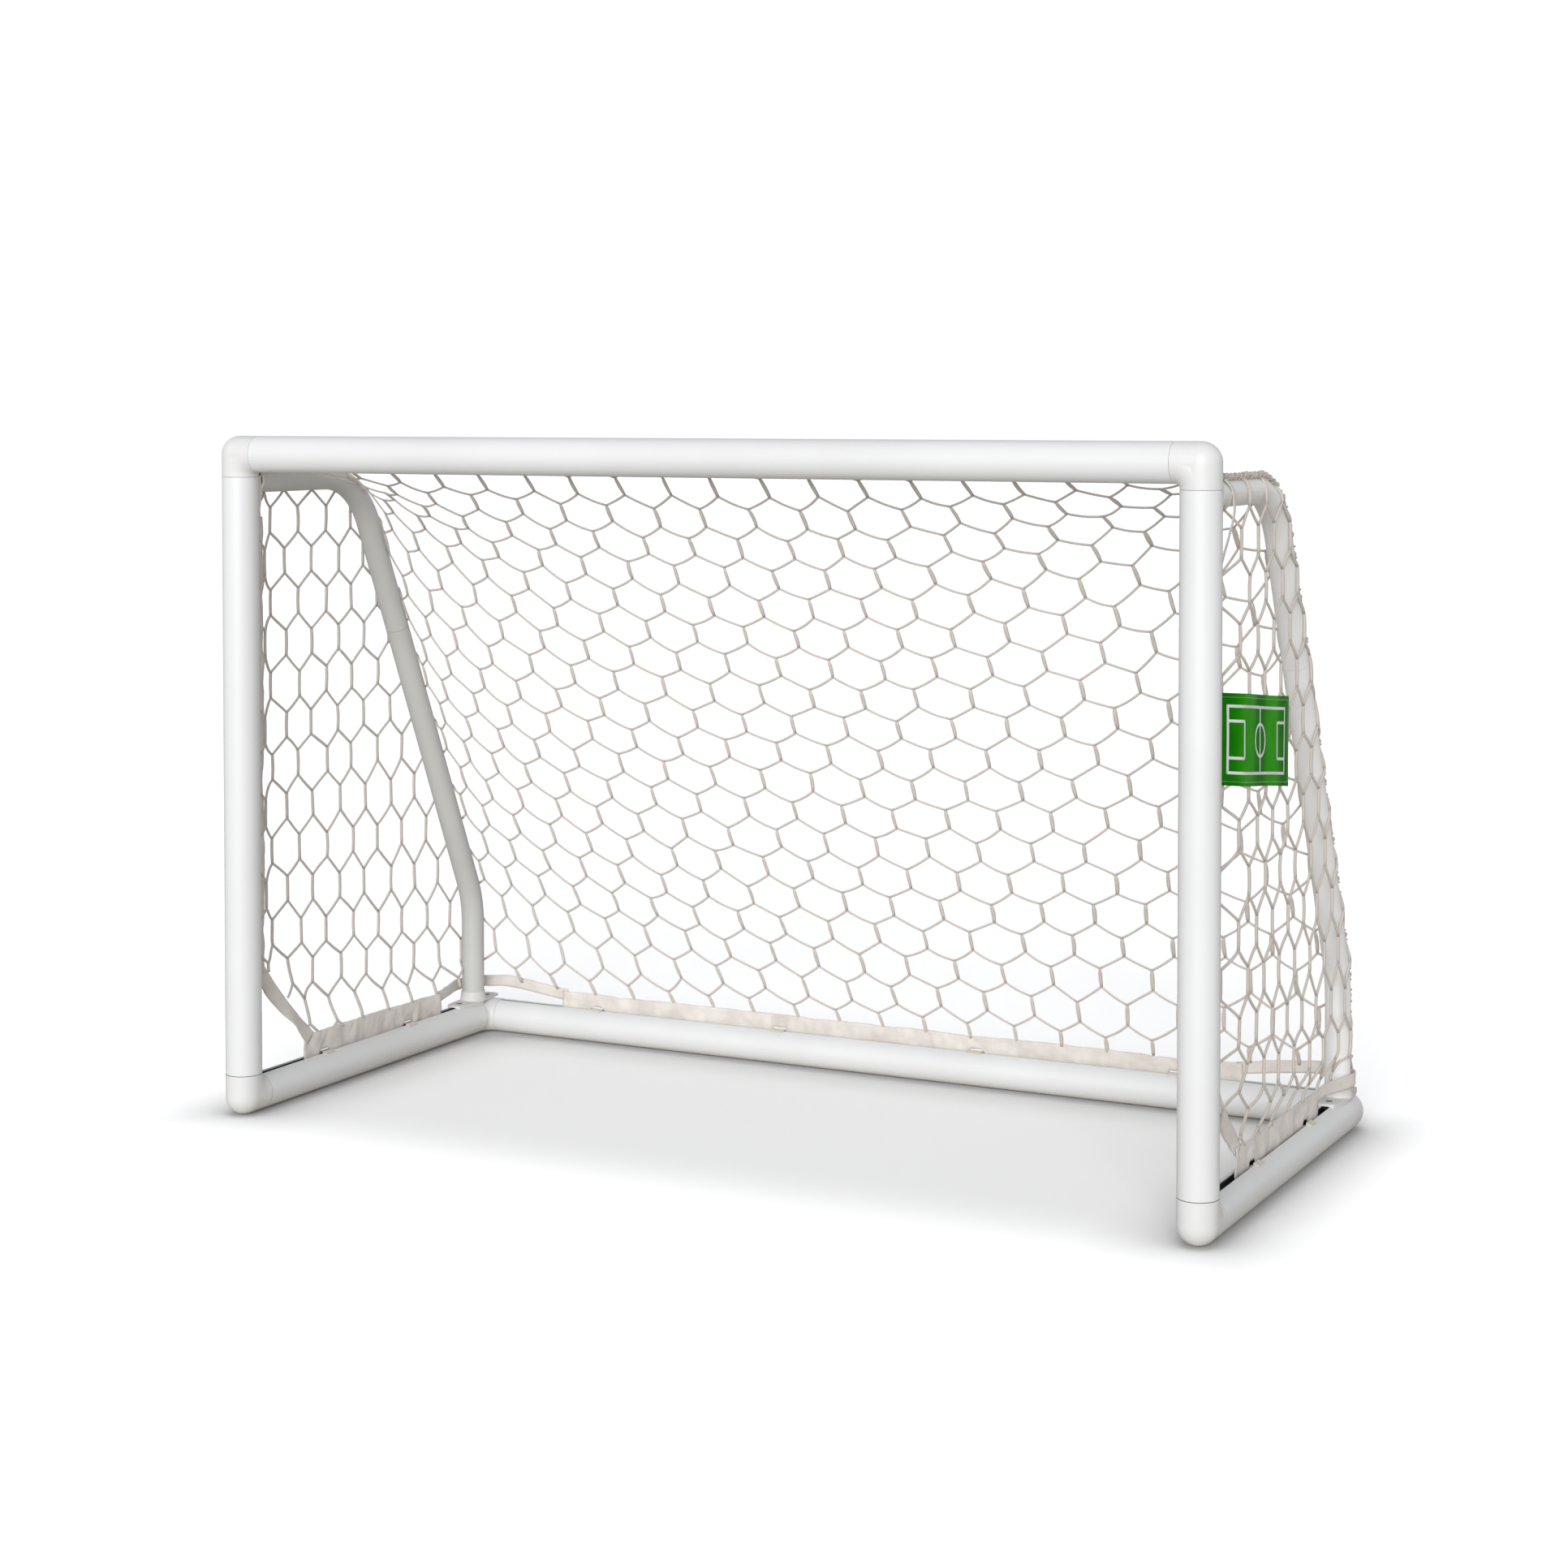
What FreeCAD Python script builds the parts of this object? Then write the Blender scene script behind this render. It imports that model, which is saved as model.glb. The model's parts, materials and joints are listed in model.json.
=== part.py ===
import FreeCAD, Part
import math
import os

from FreeCAD import Vector

# Free-standing football goal, millimetres, +Z up.
# X runs along the crossbar, the goal mouth faces -Y and the net hangs towards +Y.
# The origin is on the ground, under the middle of the goal's bounding box.

# ---- driving dimensions ----
goal_width = 1830.0
goal_depth = 845.0
goal_height = 1200.0

tube_radius = 32.0            # posts, crossbar and ground bars
tube_wall = 2.4
slot_half_width = 8.0         # mouth of the net groove
channel_half_width = 11.0     # groove inside, behind its lips
channel_floor = 13.0          # height of the groove floor above the tube axis
channel_roof = 28.5           # underside of the lips
channel_wall = 2.0

elbow_leg = 40.0              # corner to the end of the visible elbow
elbow_inner_radius = 6.0      # of the bend inside the corner
spigot_length = 70.0
spigot_radius = tube_radius - tube_wall - 0.15
spigot_core_radius = 12.0
seam_gap = 0.6
joint_screw_inset = 35.0      # from the tube's end
joint_screw_radius = 3.0
joint_screw_length = 10.0

stay_radius = 22.0
stay_wall = 1.8
stay_stub_height = 1121.0     # axis height of the stub behind the post
stay_top_corner_y = 345.0     # all stay and net places are measured back from the post axis
stay_foot_y = 737.0
stay_foot_bend_height = 267.0
stay_top_bend_radius = 150.0
stay_foot_bend_radius = 200.0
stay_joint_height = 831.0
sleeve_length = 120.0

flange_width = 42.0
flange_end_width = 28.0
flange_top = 36.0             # flange face above the axis of the tube that it sits on
flange_hub_radius = 26.0
foot_hub_height = 19.0
top_hub_height = 6.0
flange_corner_radius = 8.0
foot_flange_half_length = 74.0
foot_screw_offset = 50.0
top_flange_half_length = 62.0
top_screw_offset = 44.0
flange_screw_radius = 3.0
flange_screw_head_radius = 6.5
flange_screw_head_height = 4.0
flange_screw_length = 16.0
groove_nut_size = (18.0, 20.0, 6.0)

net_rod_radius = 4.0
binding_thickness = 2.5
net_thickness = 3.0
border_cord_radius = 4.0
border_cord_gap = 0.6
side_net_x = 908.5
net_gap = 5.0                 # middle of the rear net's edge to the stay's surface
net_on_stay = 0.965           # share of the half width from which the rear net lies on the stay
net_belly = 90.0              # how far the middle of the rear net hangs out behind a straight line
net_top = (56.0, 1160.0)      # y back from the post axis, z
banner_front = 54.0
banner_back = 358.0
banner_front_low = 685.0
banner_fall = 34.0            # the banner's rear end hangs lower by this
banner_height = 136.0
banner_thickness = 1.5

clip_length = 26.0
clip_thickness = 1.8
hem_notch_length = 34.0

# clip places: along the groove, from the post axis or from the middle
left_bar_clips = (238.0, 506.0)
right_bar_clips = (262.0, 545.0)
rear_bar_clips = (-620.0, -218.0, 190.0, 577.0)
post_clips = (340.0, 640.0, 940.0)
crossbar_clips = (-700.0, -350.0, 0.0, 350.0, 700.0)

# ---- worked out from them ----
half_width = goal_width / 2 - tube_radius
half_depth = goal_depth / 2 - tube_radius
top_height = goal_height - tube_radius
bar_height = tube_radius
bar_length = 2 * half_depth
bend_start = tube_radius + elbow_inner_radius     # corner to the start of an elbow's inner bend
net_bottom = (bar_length + 1.0, 96.0)

LEFT, RIGHT = -1, 1
AXIS_X, AXIS_Y, AXIS_Z = Vector(1, 0, 0), Vector(0, 1, 0), Vector(0, 0, 1)


def from_post(y):
    """Row Y of a place that is measured back from the post axis."""
    return y - half_depth


def save(node, shape):
    """Write one node, made of one or more closed solids."""
    solids = shape.Solids
    if not solids or not all(solid.isValid() and solid.isClosed() for solid in solids):
        raise ValueError("not a closed solid: " + node)
    shape.exportStep(os.path.join("parts", node + ".step"))
    print(node, len(solids), round(sum(solid.Volume for solid in solids)))


def placed(shape, origin, along, up):
    """Copy of a shape whose local +X and +Z are turned to two given directions."""
    turned = shape.copy()
    turn = FreeCAD.Rotation(along, up.cross(along), up, "ZXY")
    turned.Placement = FreeCAD.Placement(origin, turn)
    return turned


def box(low, high):
    """Box between two corners."""
    size = Vector(*high).sub(Vector(*low))
    return Part.makeBox(size.x, size.y, size.z, Vector(*low))


def prism(points, direction):
    """Flat outline pushed along a direction."""
    outline = Part.makePolygon([Vector(*p) for p in points] + [Vector(*points[0])])
    return Part.Face(outline).extrude(direction)


def fused(shapes):
    """One solid out of overlapping shapes."""
    return shapes[0].multiFuse(shapes[1:]).removeSplitter()


# ---- grooved tube, along local +X with the groove on local +Z ----

def grooved_tube(length, hole_places):
    """Extruded tube with its net groove and holes for the joint screws in the groove floor."""
    disc = Part.makeCylinder(tube_radius, length, Vector(0, 0, 0), AXIS_X)
    bore = Part.makeCylinder(tube_radius - tube_wall, length + 2, Vector(-1, 0, 0), AXIS_X)
    outer_half = channel_half_width + channel_wall
    casing = box((0, -outer_half, channel_floor - channel_wall), (length, outer_half, tube_radius))
    tube = disc.cut(bore).fuse(casing.common(disc))
    tube = tube.cut(box((-1, -channel_half_width, channel_floor),
                        (length + 1, channel_half_width, channel_roof)))
    tube = tube.cut(box((-1, -slot_half_width, channel_roof - 1),
                        (length + 1, slot_half_width, tube_radius + 1)))
    for place in hole_places:
        tube = tube.cut(Part.makeCylinder(joint_screw_radius + 0.2, channel_wall + 2,
                                          Vector(place, 0, channel_floor - channel_wall - 1), AXIS_Z))
    return tube.removeSplitter()


def spigot():
    """Plug of an elbow inside a tube, cut away around the groove."""
    plug_start = elbow_leg - 6
    length = spigot_length + 6
    plug = Part.makeCylinder(spigot_radius, length, Vector(plug_start, 0, 0), AXIS_X)
    plug = plug.makeChamfer(1.5, [edge for edge in plug.Edges
                                  if abs(edge.CenterOfMass.x - plug_start - length) < 0.1
                                  and edge.Length > 100])
    clearance = channel_half_width + channel_wall + 0.3
    plug = plug.cut(box((elbow_leg, -clearance, channel_floor - channel_wall - 0.3),
                        (elbow_leg + spigot_length + 1, clearance, tube_radius)))
    plug = plug.cut(Part.makeCylinder(spigot_core_radius, spigot_length, Vector(elbow_leg + 8, 0, -13),
                                      AXIS_X))
    screw_hole = Part.makeCylinder(joint_screw_radius + 0.05, joint_screw_length + 1,
                                   Vector(elbow_leg + seam_gap + joint_screw_inset, 0,
                                          channel_floor - joint_screw_length - 0.5), AXIS_Z)
    return plug.cut(screw_hole)


def elbow(corner, legs, screw_hole):
    """Corner casting: two legs round a ball and an inner bend, and a plug for each tube.

    legs holds the direction of each leg and the side that its tube's groove is on.
    The casting is made with its legs along +X and -Z and is then turned into place.
    """
    first, second = AXIS_X, AXIS_Z * -1
    section = Part.Face(Part.Wire(Part.makeCircle(tube_radius, second * bend_start, second)))
    casting = fused([Part.makeSphere(tube_radius),
                     Part.makeCylinder(tube_radius, elbow_leg, Vector(0, 0, 0), first),
                     Part.makeCylinder(tube_radius, elbow_leg, Vector(0, 0, 0), second),
                     section.revolve((first + second) * bend_start, first.cross(second), 90)])
    along, up = legs[0][0], legs[1][0] * -1
    turn = FreeCAD.Rotation(along, up.cross(along), up, "ZXY")
    for direction, (_, groove) in zip((first, second), legs):
        casting = casting.fuse(placed(spigot(), Vector(0, 0, 0), direction,
                                      turn.inverted().multVec(groove)))
    casting = placed(casting, corner, along, up)
    return casting.cut(screw_hole) if screw_hole else casting


def joint_screw():
    """Hex socket set screw, in the tube's own frame at local x = 0, flush with the groove floor."""
    low = channel_floor - joint_screw_length
    screw = Part.makeCylinder(joint_screw_radius, joint_screw_length, Vector(0, 0, low), AXIS_Z)
    socket = [(1.6 * math.cos(math.radians(60 * i)), 1.6 * math.sin(math.radians(60 * i)),
               channel_floor - 3.5) for i in range(6)]
    return screw.cut(prism(socket, Vector(0, 0, 5)))


# ---- rear stay: bent tube in a plane of constant X ----

def rounded_path(points, radii, x):
    """Wire of straight runs joined by tangent arcs; points are (y, z), one radius per inner point."""
    places = [Vector(x, from_post(y), z) for y, z in points]
    edges = []
    start = places[0]
    for before, corner, after, radius in zip(places, places[1:], places[2:], radii):
        inward = (before - corner).normalize()
        outward = (after - corner).normalize()
        half_turn = (math.pi - inward.getAngle(outward)) / 2
        reach = radius * math.tan(half_turn)
        first, last = corner + inward * reach, corner + outward * reach
        middle_way = (inward + outward).normalize()
        middle = corner + middle_way * (radius / math.cos(half_turn) - radius)
        edges.append(Part.LineSegment(start, first).toShape())
        edges.append(Part.Arc(first, middle, last).toShape())
        start = last
    edges.append(Part.LineSegment(start, places[-1]).toShape())
    return Part.Wire(edges)


def swept(path, radius):
    """Round bar along a wire."""
    start = path.Edges[0].valueAt(path.Edges[0].FirstParameter)
    along = path.Edges[0].tangentAt(path.Edges[0].FirstParameter)
    section = Part.Wire(Part.makeCircle(radius, start, along))
    return path.makePipeShell([section], True, False)


def bent_tube(path, radius, wall):
    """Hollow tube along a wire."""
    return swept(path, radius).cut(swept(path, radius - wall))


slope = (stay_foot_y - stay_top_corner_y) / (stay_stub_height - stay_foot_bend_height)
stay_joint_y = stay_foot_y - slope * (stay_joint_height - stay_foot_bend_height)
slope_way = Vector(0, slope, -1).normalize()
slope_out = Vector(0, 1, slope).normalize()


def offset_corner(offset):
    """Top and foot corners of the stay's line, moved out by an offset."""
    top = (stay_top_corner_y + offset * math.tan(slope_out.getAngle(AXIS_Z) / 2), stay_stub_height + offset)
    foot = (stay_foot_y + offset, stay_foot_bend_height + offset * math.tan(slope_out.getAngle(AXIS_Y) / 2))
    return top, foot


def stay_tubes(side):
    """Upper and lower tube of a rear stay and the sleeve inside their joint."""
    x = side * half_width
    joint = (stay_joint_y, stay_joint_height)
    upper = bent_tube(rounded_path([(tube_radius + 4.6, stay_stub_height),
                                    (stay_top_corner_y, stay_stub_height), joint],
                                   [stay_top_bend_radius], x), stay_radius, stay_wall)
    gap = slope_way * seam_gap
    lower_start = (joint[0] + gap.y, joint[1] + gap.z)
    lower = bent_tube(rounded_path([lower_start, (stay_foot_y, stay_foot_bend_height),
                                    (stay_foot_y, bar_height + flange_top - 3.4)],
                                   [stay_foot_bend_radius], x), stay_radius, stay_wall)
    middle = Vector(x, from_post(joint[0]), joint[1])
    base = middle - slope_way * (sleeve_length / 2)
    sleeve = Part.makeCylinder(stay_radius - stay_wall - 0.1, sleeve_length, base, slope_way)
    sleeve = sleeve.cut(Part.makeCylinder(stay_radius - 2 * stay_wall, sleeve_length, base, slope_way))
    return upper, lower, sleeve


# ---- flanges, along local +X on a tube's axis, with the stay on local +Z ----

def flange(half_length, screw_offset, hub_height, elbow_place, elbow_side):
    """Saddle casting with two ears and a hub for the stay.

    From elbow_place on, its underside is flat on the side where the elbow's other leg leaves.
    """
    half, end = flange_width / 2, flange_end_width / 2
    low = 12.0
    corners = [Vector(x, y, low) for x, y in ((-half_length, -end), (half_length, -end),
                                              (half_length, end), (-half_length, end))]
    outline = Part.Wire([
        Part.Arc(corners[0], Vector(0, -half, low), corners[1]).toShape(),
        Part.LineSegment(corners[1], corners[2]).toShape(),
        Part.Arc(corners[2], Vector(0, half, low), corners[3]).toShape(),
        Part.LineSegment(corners[3], corners[0]).toShape()])
    plate = Part.Face(outline).extrude(Vector(0, 0, flange_top - low))
    upright = [edge for edge in plate.Edges if edge.BoundBox.ZLength > 5]
    plate = plate.makeFillet(flange_corner_radius, upright)
    rim = [edge for edge in plate.Edges if abs(edge.BoundBox.ZMin - flange_top) < 0.01
           and abs(edge.BoundBox.ZMax - flange_top) < 0.01]
    plate = plate.makeFillet(1.2, rim)
    hub = Part.makeCone(flange_hub_radius, stay_radius + 1.4, hub_height,
                        Vector(0, 0, flange_top - 2), AXIS_Z)
    body = plate.fuse(hub)
    body = body.cut(Part.makeCylinder(tube_radius + 0.02, 3 * half_length,
                                      Vector(-1.5 * half_length, 0, 0), AXIS_X))
    flat = box((elbow_place, -3, 0), (half_length + 1, flange_width, tube_radius + 0.4))
    if elbow_side < 0:
        flat = flat.mirror(Vector(0, 0, 0), AXIS_Y)
    body = body.cut(flat)
    body = body.cut(Part.makeCylinder(stay_radius + 0.05, 60, Vector(0, 0, flange_top - 3.6), AXIS_Z))
    for place in (-screw_offset, screw_offset):
        body = body.cut(Part.makeCylinder(flange_screw_radius + 0.3, 40, Vector(place, 0, 10), AXIS_Z))
        body = body.cut(Part.makeCone(flange_screw_radius + 0.3, flange_screw_head_radius + 0.4,
                                      flange_screw_head_height, Vector(place, 0, flange_top - 4.3), AXIS_Z))
        body = body.cut(Part.makeCylinder(flange_screw_head_radius + 0.4, 3,
                                          Vector(place, 0, flange_top - 0.3), AXIS_Z))
    return body.removeSplitter()


def flange_screw():
    """Countersunk screw with a cross recess, head up, at local x = 0."""
    head_low = flange_top - 0.4 - flange_screw_head_height
    head = Part.makeCone(flange_screw_radius, flange_screw_head_radius, flange_screw_head_height,
                         Vector(0, 0, head_low), AXIS_Z)
    shank = Part.makeCylinder(flange_screw_radius, flange_screw_length,
                              Vector(0, 0, flange_top - 0.4 - flange_screw_length), AXIS_Z)
    screw = head.fuse(shank)
    for wide, deep in ((4.0, 0.75), (0.75, 4.0)):
        screw = screw.cut(box((-wide, -deep, flange_top - 2.6), (wide, deep, flange_top + 1)))
    return screw


def groove_nut():
    """Nut block that the flange screw pulls against the underside of the groove's lips."""
    length, width, height = groove_nut_size
    block = box((-length / 2, -width / 2, channel_roof - 0.1 - height),
                (length / 2, width / 2, channel_roof - 0.1))
    return block.cut(Part.makeCylinder(flange_screw_radius + 0.05, 20, Vector(0, 0, 15), AXIS_Z))


def net_clip():
    """Clip at local x = 0: a finger over the net rod and a tab hooked over the lip on local -Y."""
    half = clip_length / 2
    leg_out = slot_half_width - 0.2
    leg_in = leg_out - clip_thickness
    over_rod = channel_floor + 2 * net_rod_radius + 0.3
    finger = box((-half, -leg_out, over_rod), (half, 5.5, over_rod + clip_thickness))
    leg = box((-half, -leg_out, over_rod), (half, -leg_in, tube_radius + 0.3))
    barb = box((-half, -leg_out - 1.6, channel_roof - 2.8), (half, -leg_in, channel_roof - 0.3))
    tab = Part.makeCylinder(tube_radius + 0.3 + clip_thickness, clip_length, Vector(-half, 0, 0), AXIS_X)
    tab = tab.cut(Part.makeCylinder(tube_radius + 0.3, clip_length, Vector(-half, 0, 0), AXIS_X))
    tab = tab.common(box((-half, -15.5, 20), (half, -leg_in, 40)))
    clip = fused([finger, leg, barb, tab])
    rounded = [edge for edge in clip.Edges if edge.Length < 2.2 and edge.CenterOfMass.y < -15.0]
    try:
        clip = clip.makeFillet(0.8, rounded)
    except Exception:
        print("clip corner left sharp")
    return clip


def net_rod(start, end):
    """Round rod on the groove floor, along local +X."""
    rod = Part.makeCylinder(net_rod_radius, end - start,
                            Vector(start, 0, channel_floor + net_rod_radius), AXIS_X)
    return rod.makeChamfer(0.8, [edge for edge in rod.Edges if edge.Length > 20 and edge.Length < 30])


# ---- soft parts, kept plain ----

def side_binding(side, clips):
    """Tape sewn round a side net: down the post, across the lower front corner and along the bar."""
    rod_top = channel_floor + 2 * net_rod_radius + 0.5
    outline = [(rod_top, 262.0), (rod_top, 1056.0), (52.0, 1056.0), (52.0, 272.0),
               (206.0, 104.0), (648.0, 104.0), (668.0, 122.0), (668.0, 84.0), (648.0, 66.0),
               (648.0, bar_height + rod_top), (176.0, bar_height + rod_top), (176.0, 76.0),
               (34.0, 232.0), (34.0, 262.0)]
    x = side * half_width - binding_thickness / 2
    tape = prism([(x, from_post(y), z) for y, z in outline], Vector(binding_thickness, 0, 0))
    reach = binding_thickness
    for place in clips:
        tape = tape.cut(box((x - reach, from_post(place - hem_notch_length / 2), 40),
                            (x + 2 * reach, from_post(place + hem_notch_length / 2), 2 * bar_height + 4)))
    for place in post_clips:
        tape = tape.cut(box((x - reach, from_post(10), place - hem_notch_length / 2),
                            (x + 2 * reach, from_post(tube_radius + 4), place + hem_notch_length / 2)))
    return tape


def straight_hem(length, clips, height):
    """Hem in a groove, along local +X and standing up on local +Z, notched at the clips."""
    rod_top = channel_floor + 2 * net_rod_radius + 0.5
    hem = box((-length / 2, -binding_thickness / 2, rod_top),
              (length / 2, binding_thickness / 2, tube_radius + height))
    for place in clips:
        hem = hem.cut(box((place - hem_notch_length / 2, -5, 10),
                          (place + hem_notch_length / 2, 5, tube_radius + 4)))
    return hem


def outside_stay(offset, start, x):
    """Line that follows the outer side of the stay at an offset, from behind the post to the foot."""
    top, foot = offset_corner(offset)
    return rounded_path([(start, top[1]), top, foot, (foot[0], 112.0)],
                        [stay_top_bend_radius + offset, stay_foot_bend_radius + offset], x)


def side_net(side):
    """Side net as a flat panel, just outside the stay."""
    x = side * side_net_x - net_thickness / 2
    edge = outside_stay(17.0, 58.0, x)
    corners = [edge.Vertexes[-1].Point, Vector(x, from_post(208.0), 106.0),
               Vector(x, from_post(58.0), 274.0), edge.Vertexes[0].Point]
    front = [Part.LineSegment(p, q).toShape() for p, q in zip(corners, corners[1:])]
    return Part.Face(Part.Wire(edge.Edges + front)).extrude(Vector(net_thickness, 0, 0))


def along_line(points, share):
    """Point at a share of the length of a line of (y, z) points."""
    spans = [math.dist(a, b) for a, b in zip(points, points[1:])]
    left = share * sum(spans)
    for (a, b), span in zip(zip(points, points[1:]), spans):
        if left <= span:
            return tuple(p + (q - p) * left / span for p, q in zip(a, b))
        left -= span
    return points[-1]


def rear_net_edge():
    """Points down the edge of the rear net, where it lies on the stay."""
    on_stay = outside_stay(stay_radius + net_gap, 110.0, 0).discretize(60)
    return ([net_top] + [(p.y + half_depth, p.z) for p in on_stay if p.z > 150.0] + [net_bottom])


def rear_net_point(across, down):
    """Place on the roof and rear net: across from -1 to 1, down from 0 at the crossbar to 1."""
    y_edge, z_edge = along_line(net_edge, down)
    y_mid, z_mid = along_line([net_top, net_bottom], down)
    y_mid += net_belly * math.sin(math.pi * down ** 0.8)
    pull = min(1.0, abs(across) / net_on_stay) ** 6
    return Vector(across * half_width, from_post(y_mid + (y_edge - y_mid) * pull),
                  z_mid + (z_edge - z_mid) * pull)


def draped_sheet(point, columns, rows, thickness):
    """Closed sheet of triangles over a grid of places, thickened along its own normals."""
    def normal(across, down):
        step = 0.02
        a, b = max(across - step, -1), min(across + step, 1)
        c, d = max(down - step, 0), min(down + step, 1)
        return (point(b, down) - point(a, down)).cross(point(across, c) - point(across, d)).normalize()

    def layer(sign):
        return [[point(a, d) + normal(a, d) * (sign * thickness / 2) for a in columns] for d in rows]

    front, back = layer(1), layer(-1)
    faces = []

    def triangle(a, b, c):
        faces.append(Part.Face(Part.makePolygon([a, b, c, a])))

    def quad(a, b, c, d):
        triangle(a, b, c)
        triangle(a, c, d)

    last_row, last_column = len(rows) - 1, len(columns) - 1
    for i in range(last_row):
        for j in range(last_column):
            for grid in (front, back):
                quad(grid[i][j], grid[i][j + 1], grid[i + 1][j + 1], grid[i + 1][j])
    for i in range(last_row):
        for j in (0, last_column):
            quad(front[i][j], front[i + 1][j], back[i + 1][j], back[i][j])
    for j in range(last_column):
        for i in (0, last_row):
            quad(front[i][j], front[i][j + 1], back[i][j + 1], back[i][j])
    shell = Part.makeShell(faces)
    shell.sewShape()
    solid = Part.makeSolid(Part.Shell(shell.Faces))
    if solid.Volume < 0:
        solid.reverse()
    return solid


def border_cord(side):
    """Edge rope that joins the side net to the rear net along the outer side of the stay."""
    reach = (stay_radius + border_cord_radius + border_cord_gap) * math.sqrt(0.5)
    return swept(outside_stay(reach, 60.0, side * (half_width + reach)), border_cord_radius)


def banner():
    """Plain sewn banner on the outside of the right side net."""
    x = side_net_x + net_thickness / 2 + 0.5
    low, high = banner_front_low, banner_front_low + banner_height
    outline = [(banner_front, low), (banner_back, low - banner_fall),
               (banner_back, high - banner_fall), (banner_front, high)]
    return prism([(x, from_post(y), z) for y, z in outline], Vector(banner_thickness, 0, 0))


net_edge = rear_net_edge()


# ---- assembly ----

def tube_frames():
    """Each grooved tube: start corner, direction, groove side and distance between corners."""
    frames = {"crossbar": (Vector(-half_width, -half_depth, top_height), AXIS_X, AXIS_Y, 2 * half_width),
              "rear_bar": (Vector(-half_width, half_depth, bar_height), AXIS_X, AXIS_Z, 2 * half_width)}
    for name, side in (("left", LEFT), ("right", RIGHT)):
        x = side * half_width
        frames[name + "_post"] = (Vector(x, -half_depth, bar_height), AXIS_Z, AXIS_Y,
                                  top_height - bar_height)
        frames[name + "_side_bar"] = (Vector(x, -half_depth, bar_height), AXIS_Y, AXIS_Z, bar_length)
    return frames


def along_tube(frame, place):
    """Origin of a fitting at a distance from a tube's start corner."""
    return frame[0] + frame[1] * place


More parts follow.
